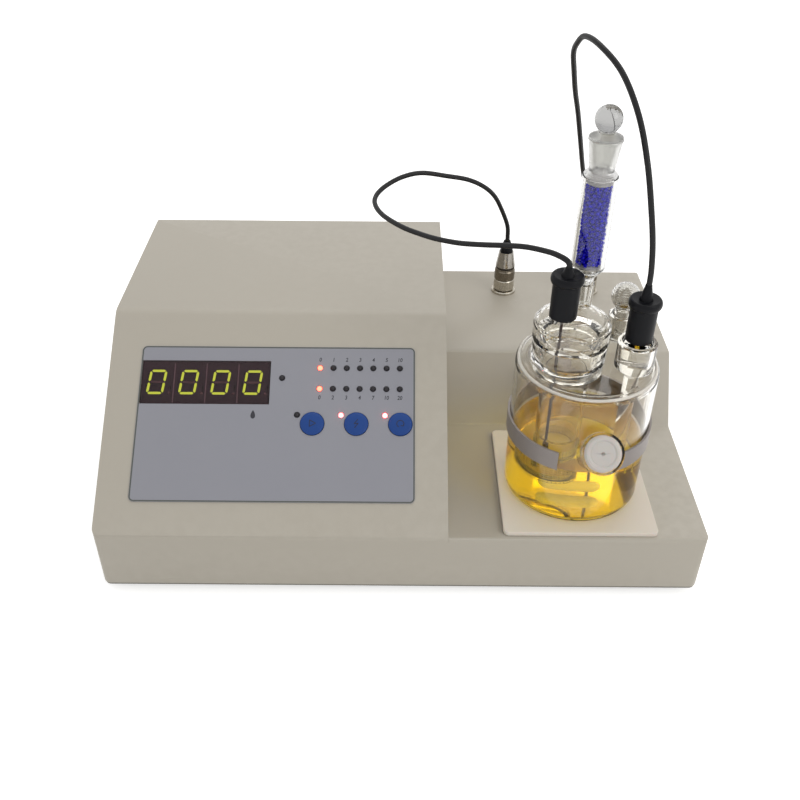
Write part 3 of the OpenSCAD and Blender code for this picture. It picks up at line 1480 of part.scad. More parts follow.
// Ring of points round the route at point i
function ring(p, i, r) =
    let (h = heading(p, i), s = spoke(p, i), t = cross(h, s))
    [for (k = [0:lead_sides - 1]) let (a = 360 * k / lead_sides) p[i] + r * (s * cos(a) + t * sin(a))];
// A point between p1 and p2 on a smooth curve through four points
function between(p0, p1, p2, p3, t) = 0.5 * (
    2 * p1 + (p2 - p0) * t
    + (2 * p0 - 5 * p1 + 4 * p2 - p3) * t * t
    + (3 * p1 - p0 - 3 * p2 + p3) * t * t * t
);
// The route with a point more in the middle of each of its long stretches
function smooth(p) =
    let (n = len(p))
    [for (i = [0:n - 1]) each (i == 0 || i >= n - 2 || norm(p[i + 1] - p[i]) < 9 ? [p[i]]
        : [p[i], between(p[i - 1], p[i], p[i + 1], p[i + 2], 0.5)])];

module lead(route) {
    p = smooth(route);
    n = len(p);
    m = lead_sides;
    points = [for (i = [0:n - 1]) each ring(p, i, lead_d / 2)];
    sides = [
        for (i = [0:n - 2]) for (k = [0:m - 1]) each
            let (a = i * m + k, b = i * m + (k + 1) % m) [[a, b, b + m], [a, b + m, a + m]]
    ];
    ends = [
        for (k = [1:m - 2]) each [[0, k + 1, k], [(n - 1) * m, (n - 1) * m + k, (n - 1) * m + k + 1]]
    ];
    color([0.06, 0.06, 0.07]) polyhedron(points, [for (f = concat(sides, ends)) [f[0], f[2], f[1]]]);
}

module electrolysis_lead() { lead(electrolysis_route); }
module measuring_lead() { lead(measuring_route); }

upper_shell();
base_plate();
rear_panel();
rubber_feet();
housing_screws();
panel_film();
display_filter();
digit_modules();
display_board();
dark_lamps();
amber_lamps();
red_lamps();
standoffs();
main_board();
transformer_core();
transformer_winding();
stirrer_motor();
motor_bracket();
magnet_carrier();
drive_magnets();
mains_inlet();
fuse_drawer();
switch_frame();
power_rocker();
speed_control();
speed_knob();
key_start();
key_electrolysis();
key_stir();
panel_sockets();
vessel_pad();
vessel_clip();
clip_bracket();
clip_fasteners();
reaction_vessel();
electrolyte();
injection_septum();
stir_bar();
cathode_chamber();
catholyte();
diaphragm();
anode_mesh();
electrolysis_cap();
electrolysis_stem();
electrolysis_lead();
electrolysis_plug();
electrolysis_boot();
electrolysis_ring();
drying_tube();
silica_gel();
cotton_plugs();
drying_tube_stopper();
measuring_cap();
measuring_stem();
measuring_pins();
measuring_lead();
measuring_plug();
measuring_boot();
measuring_ring();
port_stopper();
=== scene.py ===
"""Looks of the coulometric moisture meter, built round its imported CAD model.

Every piece is made in the CAD model's frame: X to the right, Y to the back, Z up, with the origin on the
bench in the middle of the housing's footprint. Lengths that belong to one piece are written in millimetres
and turned into metres by MM. Heights and scales inside materials are in metres, as Blender's are.
"""

import logging
import math
import random
from dataclasses import dataclass
from enum import Enum
from typing import Iterable, Optional, Sequence, Union

import bmesh
import bpy
import numpy as np
from mathutils import Matrix, Vector


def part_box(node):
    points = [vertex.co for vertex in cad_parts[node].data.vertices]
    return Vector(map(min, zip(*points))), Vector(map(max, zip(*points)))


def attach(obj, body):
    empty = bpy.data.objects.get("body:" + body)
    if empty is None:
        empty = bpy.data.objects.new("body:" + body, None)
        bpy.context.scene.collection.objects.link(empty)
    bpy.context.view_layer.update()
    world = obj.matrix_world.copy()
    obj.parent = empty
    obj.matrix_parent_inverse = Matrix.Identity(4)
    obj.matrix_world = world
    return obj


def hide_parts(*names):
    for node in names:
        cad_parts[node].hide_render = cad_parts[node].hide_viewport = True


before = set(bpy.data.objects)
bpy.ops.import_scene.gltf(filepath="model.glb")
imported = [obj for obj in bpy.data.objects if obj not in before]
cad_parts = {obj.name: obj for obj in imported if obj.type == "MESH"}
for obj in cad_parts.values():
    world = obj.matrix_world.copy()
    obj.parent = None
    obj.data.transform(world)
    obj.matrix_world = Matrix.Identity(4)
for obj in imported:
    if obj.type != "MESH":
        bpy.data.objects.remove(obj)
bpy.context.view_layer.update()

LOG = logging.getLogger("moisture_meter")
MM = 0.001
LIGHT_BOUNCES = 24
BAND_EDGE = 0.0002
SHARP_DEGREES = 32.0
ROUNDED_SHARP_DEGREES = 30.0
FLAT_DEGREES = 0.4
MERGE_METRES = 1e-7
CAD_MERGE_METRES = 2e-6
SIDE_SHARE = 0.45
LEAST_TANGENT = 1e-3

Colour = tuple[float, float, float]
Point = tuple[float, float, float]
Spot = tuple[float, float]
Faces = list[tuple[int, ...]]
Shape = tuple[list, Faces]
Setting = Union[bpy.types.NodeSocket, bpy.types.Material, Colour, float, bool]

WHITE: Colour = (1.0, 1.0, 1.0)
MID_GREY: Colour = (0.5, 0.5, 0.5)
NOISE_CORE: Spot = (0.3, 0.7)
NOISE_MIDDLE = 0.5


def linear(level: float) -> float:
    """Returns the linear share of an sRGB level given in 0 to 255."""
    share = level / 255
    return share / 12.92 if share <= 0.04045 else ((share + 0.055) / 1.055) ** 2.4


def srgb(red: float, green: float, blue: float) -> Colour:
    """Returns the linear colour of an sRGB colour given in 0 to 255."""
    return linear(red), linear(green), linear(blue)


# Node helpers

class Graph:
    """A node tree with short calls to add and join nodes."""

    def __init__(self, tree: bpy.types.NodeTree) -> None:
        """Keeps the tree that gets the nodes."""
        self.tree = tree

    def add(self, kind: str, inputs: Optional[dict] = None, **settings: object) -> bpy.types.Node:
        """Adds a node.

        Args:
            kind: the node's type name.
            inputs: input name or number to a value, or to an output socket to join it to.
            settings: properties of the node.

        Returns:
            The node.
        """
        node = self.tree.nodes.new(kind)
        for key, value in settings.items():
            setattr(node, key, value)
        for key, value in (inputs or {}).items():
            self.put(node.inputs[key], value)
        return node

    def put(self, socket: bpy.types.NodeSocket, value: Setting) -> None:
        """Joins an output socket to an input socket, or sets the input's own value.

        Args:
            socket: the input socket.
            value: the output socket, or the plain value.
        """
        if isinstance(value, bpy.types.NodeSocket):
            self.tree.links.new(value, socket)
        elif socket.type == "RGBA":
            socket.default_value = (*value, 1.0)
        else:
            socket.default_value = value

    def math(self, operation: str, first: Setting, second: Setting = 0.0,
             clamp: bool = False) -> bpy.types.NodeSocket:
        """Returns the result of a Math node's operation on two numbers, held in 0 to 1 by clamp."""
        values = {0: first, 1: second}
        return self.add("ShaderNodeMath", values, operation=operation, use_clamp=clamp).outputs[0]

    def times(self, first: Setting, second: Setting) -> bpy.types.NodeSocket:
        """Returns the product of two numbers."""
        return self.math("MULTIPLY", first, second)

    def plus(self, first: Setting, second: Setting, clamp: bool = False) -> bpy.types.NodeSocket:
        """Returns the sum of two numbers."""
        return self.math("ADD", first, second, clamp)

    def spread(self, value: Setting, low: float, high: float, to_low: float = 0.0,
               to_high: float = 1.0) -> bpy.types.NodeSocket:
        """Returns a number of the span low to high as one of the span to_low to to_high, held in it."""
        values = {"Value": value, "From Min": low, "From Max": high, "To Min": to_low, "To Max": to_high}
        return self.add("ShaderNodeMapRange", values).outputs["Result"]

    def mix(self, factor: Setting, first: Setting, second: Setting) -> bpy.types.NodeSocket:
        """Mixes two colours.

        Args:
            factor: the second colour's share.
            first: the first colour or socket.
            second: the second colour or socket.

        Returns:
            The mixed colour's socket.
        """
        node = self.add("ShaderNodeMix", {0: factor}, data_type="RGBA")
        self.put(node.inputs[6], first)
        self.put(node.inputs[7], second)
        return node.outputs[2]

    def place(self) -> bpy.types.NodeSocket:
        """Returns the place on the piece, in Object coordinates."""
        return self.add("ShaderNodeTexCoord").outputs["Object"]

    def noise(self, scale: Setting, detail: float = 1.0, where: Optional[bpy.types.NodeSocket] = None,
              roughness: float = 0.5) -> bpy.types.NodeSocket:
        """Adds soft noise over a piece.

        Args:
            scale: lumps to a metre, as a number or socket.
            detail: how many finer layers it has.
            where: the place that it reads, or None for the place on the piece.
            roughness: the finer layers' strength.

        Returns:
            The noise's socket, from 0 to 1.
        """
        values = {"Vector": self.place() if where is None else where, "Scale": scale, "Detail": detail,
                  "Roughness": roughness}
        return self.add("ShaderNodeTexNoise", values).outputs["Fac"]

    def bump(self, height: Setting, strength: Setting, distance: Setting) -> bpy.types.NodeSocket:
        """Returns the normal of a surface that rises by height times distance."""
        values = {"Height": height, "Strength": strength, "Distance": distance}
        return self.add("ShaderNodeBump", values).outputs["Normal"]

    def band(self, low: float, high: float) -> bpy.types.NodeSocket:
        """Picks out a band of heights.

        Args:
            low: the band's lower height in metres.
            high: its upper height.

        Returns:
            A socket that is 1 in the band and 0 outside it, with soft edges.
        """
        height = self.add("ShaderNodeSeparateXYZ", {0: self.place()}).outputs["Z"]
        above = self.spread(height, low - BAND_EDGE, low + BAND_EDGE)
        below = self.spread(height, high - BAND_EDGE, high + BAND_EDGE, 1.0, 0.0)
        return self.times(above, below)

    def seen(self) -> bpy.types.NodeSocket:
        """Picks out the rays that show a background.

        Returns:
            A socket that is 1 for rays from the camera, from gloss and through glass, and 0 for others.
        """
        path = self.add("ShaderNodeLightPath").outputs
        passed_on = self.math("MAXIMUM", path["Is Glossy Ray"], path["Is Transmission Ray"])
        return self.math("MAXIMUM", path["Is Camera Ray"], passed_on)


VALUE, COLOUR, VECTOR = "NodeSocketFloat", "NodeSocketColor", "NodeSocketVector"
WHOLE, MATERIAL, GEOMETRY = "NodeSocketInt", "NodeSocketMaterial", "NodeSocketGeometry"


class NodeGroup:
    """A node tree with named inputs and outputs. Each kind fills it in its own way."""

    tree_kind: str
    name: str
    inputs: dict[str, tuple[str, object]]
    outputs: dict[str, str]

    def __init__(self) -> None:
        """Builds the tree."""
        tree = bpy.data.node_groups.new(self.name, self.tree_kind)
        for label, (kind, default) in self.inputs.items():
            socket = tree.interface.new_socket(label, in_out="INPUT", socket_type=kind)
            if default is not None:
                socket.default_value = (*default, 1.0) if kind == COLOUR else default
        for label, kind in self.outputs.items():
            tree.interface.new_socket(label, in_out="OUTPUT", socket_type=kind)
        self.graph = Graph(tree)
        self.source = tree.nodes.new("NodeGroupInput")
        self.target = tree.nodes.new("NodeGroupOutput")
        self.wire()

    def wire(self) -> None:
        """Adds and joins the tree's nodes."""
        raise NotImplementedError

    def give(self, label: str, value: bpy.types.NodeSocket) -> None:
        """Joins a socket to one of the tree's outputs."""
        self.graph.put(self.target.inputs[label], value)


# Effects that several finishes share

class Effect(NodeGroup):
    """A shader node group, built once and placed in many materials."""

    tree_kind = "ShaderNodeTree"
    built: dict[str, bpy.types.NodeTree] = {}

    def __init__(self) -> None:
        """Builds the group and keeps it by its name."""
        super().__init__()
        Effect.built[self.name] = self.graph.tree

    @classmethod
    def place(cls, graph: Graph, inputs: dict[str, Setting]) -> bpy.types.Node:
        """Places the effect in a material's graph with those inputs, and returns its node."""
        return graph.add("ShaderNodeGroup", inputs, node_tree=Effect.built[cls.name])


class Mottle(Effect):
    """Slow and fine variation of a colour and of its roughness."""

    name = "mottle"
    inputs = {"Colour": (COLOUR, MID_GREY), "Roughness": (VALUE, 0.5), "Amount": (VALUE, 0.1),
              "Slow scale": (VALUE, 14.0), "Fine scale": (VALUE, 300.0)}
    outputs = {"Colour": COLOUR, "Roughness": VALUE}
    slow_layers = 3.0
    fine_layers = 2.0
    slow_share = 0.6
    fine_share = 0.4
    rough_swing = 1.2

    def wire(self) -> None:
        """Lets two noises swing the colour's level and the roughness."""
        graph, source = self.graph, self.source.outputs
        slow = graph.times(graph.noise(source["Slow scale"], self.slow_layers), self.slow_share)
        fine = graph.times(graph.noise(source["Fine scale"], self.fine_layers), self.fine_share)
        centred = graph.math("SUBTRACT", graph.plus(slow, fine), NOISE_MIDDLE)
        swing = graph.times(centred, source["Amount"])
        values = {0: source["Colour"], "Scale": graph.plus(swing, 1.0)}
        self.give("Colour", graph.add("ShaderNodeVectorMath", values, operation="SCALE").outputs[0])
        rough = graph.plus(source["Roughness"], graph.times(swing, self.rough_swing), clamp=True)
        self.give("Roughness", rough)


class Relief(Effect):
    """A fine relief, such as sprayed paint's orange peel or a moulded grain."""

    name = "relief"
    inputs = {"Scale": (VALUE, 900.0), "Strength": (VALUE, 0.3), "Depth": (VALUE, 0.0001)}
    outputs = {"Normal": VECTOR}
    coarse_layers = 2.0
    grain_layers = 1.0
    grain_finer = 3.1
    grain_share = 0.5

    def wire(self) -> None:
        """Lets a coarse noise and a finer grain bend the normal."""
        graph, source = self.graph, self.source.outputs
        coarse = graph.noise(source["Scale"], self.coarse_layers)
        grain = graph.noise(graph.times(source["Scale"], self.grain_finer), self.grain_layers)
        height = graph.plus(coarse, graph.times(grain, self.grain_share))
        self.give("Normal", graph.bump(height, source["Strength"], source["Depth"]))


class Brushed(Effect):
    """Fine lines, as turning or brushing leaves them on metal."""

    name = "brushed"
    inputs = {"Scale": (VALUE, 900.0), "Strength": (VALUE, 0.3), "Stretch": (VECTOR, (1.0, 1.0, 12.0))}
    outputs = {"Lines": VALUE, "Normal": VECTOR}
    depth = 0.00004
    line_layers = 4.0
    line_roughness = 0.7

    def wire(self) -> None:
        """Squeezes a noise into lines along the axes that Stretch leaves alone."""
        graph, source = self.graph, self.source.outputs
        values = {0: graph.place(), 1: source["Stretch"]}
        squeezed = graph.add("ShaderNodeVectorMath", values, operation="MULTIPLY").outputs[0]
        lines = graph.noise(source["Scale"], self.line_layers, squeezed, self.line_roughness)
        self.give("Lines", lines)
        self.give("Normal", graph.bump(lines, source["Strength"], self.depth))


class Dust(Effect):
    """A thin veil of dust on faces that look up, thicker in patches."""

    name = "dust"
    inputs = {"Colour": (COLOUR, MID_GREY), "Amount": (VALUE, 0.2)}
    outputs = {"Colour": COLOUR, "Mask": VALUE}
    patch_scale = 28.0
    patch_layers = 4.0
    patch_levels: Spot = (0.35, 0.75)
    upward_levels: Spot = (0.3, 1.0)
    dust_colour: Colour = (0.62, 0.60, 0.55)

    def wire(self) -> None:
        """Mixes dust over the colour where the surface looks up."""
        graph, source = self.graph, self.source.outputs
        normal = graph.add("ShaderNodeNewGeometry").outputs["Normal"]
        upward = graph.add("ShaderNodeSeparateXYZ", {0: normal}).outputs["Z"]
        patches = graph.noise(self.patch_scale, self.patch_layers)
        facing = graph.spread(upward, *self.upward_levels)
        veil = graph.times(facing, graph.spread(patches, *self.patch_levels))
        mask = graph.times(veil, source["Amount"])
        self.give("Mask", mask)
        self.give("Colour", graph.mix(mask, source["Colour"], self.dust_colour))


class EdgeWear(Effect):
    """Lightens convex edges a little, broken up by noise, where hands and cloths rub them."""

    name = "edge_wear"
    inputs = {"Colour": (COLOUR, MID_GREY), "Bare colour": (COLOUR, (0.6, 0.6, 0.6)), "Amount": (VALUE, 0.5)}
    outputs = {"Colour": COLOUR, "Mask": VALUE}
    patch_scale = 160.0
    patch_layers = 3.0
    patch_levels: Spot = (0.35, 0.65)
    pointed_levels: Spot = (0.53, 0.62)

    def wire(self) -> None:
        """Mixes the bare colour in where the surface is pointed."""
        graph, source = self.graph, self.source.outputs
        pointed = graph.add("ShaderNodeNewGeometry").outputs["Pointiness"]
        patches = graph.noise(self.patch_scale, self.patch_layers)
        edges = graph.spread(pointed, *self.pointed_levels)
        mask = graph.times(graph.times(edges, graph.spread(patches, *self.patch_levels)), source["Amount"])
        self.give("Mask", mask)
        self.give("Colour", graph.mix(mask, source["Colour"], source["Bare colour"]))


# Kinds of finish

@dataclass(frozen=True)
class Finish:
    """The look of one kind of surface, which becomes one material."""

    name: str

    def build(self) -> bpy.types.Material:
        """Makes the finish's material.

        Returns:
            The material.
        """
        material = bpy.data.materials.new(self.name)
        material.use_nodes = True
        material.node_tree.nodes.clear()
        graph = Graph(material.node_tree)
        self.wire(graph, graph.add("ShaderNodeOutputMaterial"))
        return material

    def wire(self, graph: Graph, output: bpy.types.Node) -> None:
        """Adds the finish's shader to a graph and joins it to the output node."""
        raise NotImplementedError


@dataclass(frozen=True)
class SolidFinish(Finish):
    """An opaque finish: paint, plastic, rubber, ceramic or metal."""

    colour: Colour
    roughness: float = 0.5
    metallic: float = 0.0
    mottle: float = 0.08
    slow_scale: float = 14.0
    fine_scale: float = 300.0
    relief_scale: float = 900.0
    relief_depth: float = 0.00006
    relief_strength: float = 0.35
    specular: float = 0.5
    dust: float = 0.0
    dust_roughness: float = 0.3
    wear: float = 0.0
    wear_colour: Colour = (0.7, 0.68, 0.62)
    brushed: Optional[Point] = None
    brushed_roughness: float = 0.08
    coat: float = 0.0
    sheen: float = 0.0
    subsurface: float = 0.0
    subsurface_depth: float = 0.002

    def wire(self, graph: Graph, output: bpy.types.Node) -> None:
        """Adds colour, wear, dust and relief to a Principled shader.

        Args:
            graph: the material's graph.
            output: its output node.
        """
        mottle = Mottle.place(graph, {
            "Colour": self.colour, "Roughness": self.roughness, "Amount": self.mottle,
            "Slow scale": self.slow_scale, "Fine scale": self.fine_scale}).outputs
        colour, rough = self.tint(graph, mottle["Colour"]), mottle["Roughness"]
        if self.wear:
            worn = {"Colour": colour, "Bare colour": self.wear_colour, "Amount": self.wear}
            colour = EdgeWear.place(graph, worn).outputs["Colour"]
        if self.dust:
            dust = Dust.place(graph, {"Colour": colour, "Amount": self.dust}).outputs
            colour = dust["Colour"]
            rough = graph.plus(rough, graph.times(dust["Mask"], self.dust_roughness), clamp=True)
        relief = {"Scale": self.relief_scale, "Strength": self.relief_strength}
        if self.brushed:
            surface = Brushed.place(graph, {**relief, "Stretch": self.brushed}).outputs
            swing = self.brushed_roughness
            lines = graph.spread(surface["Lines"], *NOISE_CORE, -swing, swing)
            rough = graph.plus(rough, lines, clamp=True)
        else:
            surface = Relief.place(graph, {**relief, "Depth": self.relief_depth}).outputs
        shader = graph.add("ShaderNodeBsdfPrincipled", {
            "Base Color": colour, "Roughness": rough, "Metallic": self.metallic, "Normal": surface["Normal"],
            "Specular IOR Level": self.specular, "Coat Weight": self.coat, "Sheen Weight": self.sheen,
            "Subsurface Weight": self.subsurface, "Subsurface Scale": self.subsurface_depth})
        graph.put(output.inputs["Surface"], shader.outputs[0])

    def tint(self, graph: Graph, colour: bpy.types.NodeSocket) -> bpy.types.NodeSocket:
        """Returns the colour with whatever marks a special finish adds. A plain finish adds none."""
        return colour


@dataclass(frozen=True)
class BandedFinish(SolidFinish):
    """A finish with darker bands, each given by its lower and upper height and its colour."""

    bands: Sequence[tuple[float, float, Colour]] = ()

    def tint(self, graph: Graph, colour: bpy.types.NodeSocket) -> bpy.types.NodeSocket:
        """Lays the bands over the colour.

        Args:
            graph: the material's graph.
            colour: the plain colour's socket.

        Returns:
            The banded colour's socket.
        """
        for low, high, band_colour in self.bands:
            colour = graph.mix(graph.band(low, high), colour, band_colour)
        return colour


@dataclass(frozen=True)
class GlassFinish(Finish):
    """Glass or liquid, clear or tinted. Shadow rays pass it as through air, tinted by its shadow colour."""

    colour: Colour = WHITE
    shadow_colour: Colour = (0.9, 0.9, 0.9)
    ior: float = 1.47
    roughness: float = 0.0
    wave_scale: float = 55.0
    wave_strength: float = 0.35
    wave_depth: float = 0.00002
    absorb_colour: Optional[Colour] = None
    absorb_density: float = 0.0
    frost: float = 0.0
    frost_heights: Spot = (0.0, 0.0)
    frost_tint: Colour = WHITE

    def wire(self, graph: Graph, output: bpy.types.Node) -> None:
        """Adds a glass shader, a ground band where it has one, and what the liquid absorbs.

        Args:
            graph: the material's graph.
            output: its output node.
        """
        waves = graph.bump(graph.noise(self.wave_scale), self.wave_strength, self.wave_depth)
        glass = graph.add("ShaderNodeBsdfPrincipled", {
            "Base Color": self.colour, "Roughness": self.roughness, "IOR": self.ior,
            "Transmission Weight": 1.0, "Normal": waves})
        if self.frost:
            ground = graph.band(*self.frost_heights)
            rough = graph.plus(graph.times(ground, self.frost), self.roughness)
            graph.put(glass.inputs["Base Color"], graph.mix(ground, self.colour, self.frost_tint))
            graph.put(glass.inputs["Roughness"], rough)
        clear = graph.add("ShaderNodeBsdfTransparent", {"Color": self.shadow_colour})
        shadow = graph.add("ShaderNodeLightPath").outputs["Is Shadow Ray"]
        either = {0: shadow, 1: glass.outputs[0], 2: clear.outputs[0]}
        graph.put(output.inputs["Surface"], graph.add("ShaderNodeMixShader", either).outputs[0])
        if self.absorb_colour:
            depth = {"Color": self.absorb_colour, "Density": self.absorb_density}
            graph.put(output.inputs["Volume"], graph.add("ShaderNodeVolumeAbsorption", depth).outputs[0])


@dataclass(frozen=True)
class GlowFinish(Finish):
    """A lit lamp or display bar, or a painted glow that lightens a white piece in the liquid, which is no
    lamp.
    """

    colour: Colour
    glow: Colour
    strength: float
    roughness: float = 0.25
    flicker_scale: float = 700.0
    flicker: float = 0.03

    def wire(self, graph: Graph, output: bpy.types.Node) -> None:
        """Adds a shader that glows, a little uneven.

        Args:
            graph: the material's graph.
            output: its output node.
        """
        uneven = graph.spread(graph.noise(self.flicker_scale), *NOISE_CORE, 0.0, self.flicker)
        shader = graph.add("ShaderNodeBsdfPrincipled", {
            "Base Color": self.colour, "Roughness": self.roughness,
            "Emission Color": graph.mix(uneven, self.glow, self.colour), "Emission Strength": self.strength})
        graph.put(output.inputs["Surface"], shader.outputs[0])


@dataclass(frozen=True)
class FloorFinish(Finish):
    """A matt white floor that takes shadows, and is lifted towards white only where it is seen."""

    colour: Colour = (0.88, 0.88, 0.88)
    lift: float = 0.58

    def wire(self, graph: Graph, output: bpy.types.Node) -> None:
        """Adds a matt shader and a glow for the rays that show a background.

        Args:
            graph: the material's graph.
            output: its output node.
        """
        matt = graph.add("ShaderNodeBsdfDiffuse", {"Color": self.colour})
        glow = graph.add("ShaderNodeEmission", {"Color": WHITE, "Strength": self.lift})
        dark = graph.add("ShaderNodeEmission", {"Strength": 0.0})
        lifted = graph.add("ShaderNodeMixShader", {0: graph.seen(), 1: dark.outputs[0], 2: glow.outputs[0]})
        both = graph.add("ShaderNodeAddShader", {0: matt.outputs[0], 1: lifted.outputs[0]})
        graph.put(output.inputs["Surface"], both.outputs[0])


# Lines and faces

def arc(centre: Spot, radius: float, start: float, sweep: float, steps: int) -> list[Spot]:
    """Returns places along an arc from start through sweep degrees, with both ends."""
    turns = [math.radians(start + sweep * k / steps) for k in range(steps + 1)]
    return [(centre[0] + radius * math.cos(turn), centre[1] + radius * math.sin(turn)) for turn in turns]


def circle(centre: Spot, radius: float, sides: int) -> list[Spot]:
    """Returns the corners of a circle."""
    return arc(centre, radius, 0.0, 360.0, sides)[:-1]


def rounded_rectangle(low: Spot, high: Spot, radius: float, steps: int) -> list[Spot]:
    """Goes round a rectangle with rounded corners.

    Args:
        low: its lower left corner.
        high: its upper right corner.
        radius: radius of its corners.
        steps: steps in each corner.

    Returns:
        The places round it.
    """
    left, front, right, back = low[0] + radius, low[1] + radius, high[0] - radius, high[1] - radius
    corners = ((right, front, -90), (right, back, 0), (left, back, 90), (left, front, 180))
    return [spot for x, y, start in corners for spot in arc((x, y), radius, start, 90, steps)]


def rounded_path(points: Sequence[Spot], radius: float, steps: int) -> list[Spot]:
    """Rounds the corners between the two ends of a path.

    Args:
        points: corners of the path.
        radius: radius at each corner, less where its sides are short.
        steps: steps in each rounded corner.

    Returns:
        The new path.
    """
    path: list[Spot] = [points[0]]
    for before, corner, after in zip(points, points[1:], points[2:]):
        here = Vector(corner)
        back, ahead = Vector(before) - here, Vector(after) - here
        wanted = radius / max(math.tan(back.angle(ahead) / 2), LEAST_TANGENT)
        reach = min(wanted, back.length * SIDE_SHARE, ahead.length * SIDE_SHARE)
        start, end = here + back.normalized() * reach, here + ahead.normalized() * reach
        for k in range(steps + 1):
            t = k / steps
            path.append(tuple(start * (1 - t) ** 2 + here * 2 * t * (1 - t) + end * t ** 2))
    return path + [points[-1]]


def skin(rings: int, across: int, looped: bool, closed: bool) -> Faces:
    """Joins rings of corners that follow each other.

    Args:
        rings: number of rings.
        across: corners in each ring.
        looped: whether the last ring joins the first.
        closed: whether each ring's last corner joins its first.

    Returns:
        The faces between the rings.
    """
    faces = []
    for k in range(rings if looped else rings - 1):
        here, there = k * across, (k + 1) % rings * across
        for i in range(across if closed else across - 1):
            j = (i + 1) % across
            faces.append((here + i, there + i, there + j, here + j))
    return faces


def loft(rings: Sequence[Sequence]) -> Shape:
    """Makes a solid shape through closed rings of corners.

    Args:
        rings: the rings, each with as many corners.

    Returns:
        The shape's corners and faces.
    """
    across = len(rings[0])
    points = [corner for ring in rings for corner in ring]
    ends = [tuple(range(across)), tuple(range(len(points) - across, len(points)))[::-1]]
    return points, skin(len(rings), across, looped=False, closed=True) + ends


# Objects and meshes

def new_object(name: str, data: bpy.types.ID) -> bpy.types.Object:
    """Adds an object to the scene.

    Args:
        name: the object's name.
        data: its mesh, curve, lamp or camera.

    Returns:
        The object.
    """
    made = bpy.data.objects.new(name, data)
    bpy.context.scene.collection.objects.link(made)
    return made


def smooth_object(name: str, mesh: bpy.types.Mesh, sharp_degrees: float = SHARP_DEGREES) -> bpy.types.Object:
    """Makes an object of a mesh and shades it smooth.

    Args:
        name: the piece's name.
        mesh: its mesh.
        sharp_degrees: edges above this angle stay sharp.

    Returns:
        The object.
    """
    mesh.polygons.foreach_set("use_smooth", [True] * len(mesh.polygons))
    mesh.set_sharp_from_angle(angle=math.radians(sharp_degrees))
    return new_object(name, mesh)


def loose_mesh(name: str, points: Iterable, edges: Sequence = (), faces: Sequence = ()) -> bpy.types.Mesh:
    """Makes a mesh of corners given in millimetres.

    Args:
        name: the mesh's name.
        points: its corners.
        edges: pairs of corner numbers.
        faces: lists of corner numbers.

    Returns:
        The mesh.
    """
    mesh = bpy.data.meshes.new(name)
    mesh.from_pydata([tuple(float(v) * MM for v in point) for point in points], edges, faces)
    return mesh


def mesh_piece(name: str, shapes: Iterable[Shape], sharp_degrees: float = SHARP_DEGREES) -> bpy.types.Object:
    """Joins shapes into one piece.

    Args:
        name: the piece's name.
        shapes: corners in millimetres, and faces as lists of corner numbers.
        sharp_degrees: edges above this angle stay sharp.

    Returns:
        The object, with doubles merged and normals pointing outwards.
    """
    points, faces = [], []
    for corners, sides in shapes:
        start = len(points)
        points += corners
        faces += [tuple(start + i for i in side) for side in sides]
    mesh = loose_mesh(name, points, faces=faces)
    work = bmesh.new()
    work.from_mesh(mesh)
    bmesh.ops.remove_doubles(work, verts=work.verts, dist=MERGE_METRES)
    bmesh.ops.dissolve_degenerate(work, edges=work.edges, dist=MERGE_METRES / 10)
    bmesh.ops.recalc_face_normals(work, faces=work.faces)
    work.to_mesh(mesh)
    work.free()
    return smooth_object(name, mesh, sharp_degrees)


def lathe(name: str, profile: Sequence[Spot], place: Matrix, sides: int = 96) -> bpy.types.Object:
    """Turns a profile round an axis.

    Args:
        name: the piece's name.
        profile: (radius, height) in millimetres, from the axis to the axis.
        place: where the axis stands.
        sides: steps round the axis.

    Returns:
        The object.
    """
    turns = [2 * math.pi * k / sides for k in range(sides)]
    points = [place @ Vector((radius * math.cos(turn), radius * math.sin(turn), height))
              for turn in turns for radius, height in profile]
    return mesh_piece(name, [(points, skin(sides, len(profile), looped=True, closed=False))])


def merged_copy(node: str) -> bmesh.types.BMesh:
    """Copies a CAD node's mesh and merges its loose triangles.

    Args:
        node: the CAD node.

    Returns:
        The copy, as a bmesh.
    """
    work = bmesh.new()
    work.from_mesh(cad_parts[node].data)
    bmesh.ops.remove_doubles(work, verts=work.verts, dist=CAD_MERGE_METRES)
    flat = math.radians(FLAT_DEGREES)
    bmesh.ops.dissolve_limit(work, angle_limit=flat, verts=work.verts, edges=work.edges)
    work.normal_update()
    return work


def bevelled(name: str, work: bmesh.types.BMesh, edges: Sequence[bmesh.types.BMEdge], radius: float,
             steps: int, clamp: bool = False) -> bpy.types.Object:
    """Rounds edges of a bmesh and makes an object of it.

    Args:
        name: the piece's name.
        work: the bmesh. It is used up.
        edges: the edges to round.
        radius: their radius in millimetres.
        steps: faces across each rounded edge.
        clamp: whether the radius stays within short neighbours.

    Returns:
        The object.
    """
    bmesh.ops.bevel(work, geom=edges, offset=radius * MM, offset_type="OFFSET", segments=steps, profile=0.5,
                    affect="EDGES", clamp_overlap=clamp)
    mesh = bpy.data.meshes.new(name)
    work.to_mesh(mesh)
    work.free()
    return smooth_object(name, mesh, ROUNDED_SHARP_DEGREES)


def baked(carrier: bpy.types.Object) -> bpy.types.Mesh:
    """Works out an object's modifiers or letters, and removes the object.

    Args:
        carrier: the object. It is used up.

    Returns:
        A plain mesh with the object's name.
    """
    bpy.context.view_layer.update()
    evaluated = carrier.evaluated_get(bpy.context.evaluated_depsgraph_get())
    mesh = bpy.data.meshes.new_from_object(evaluated)
    name = carrier.name
    carrier.modifiers.clear()
    bpy.data.objects.remove(carrier)
    mesh.name = name
    return mesh


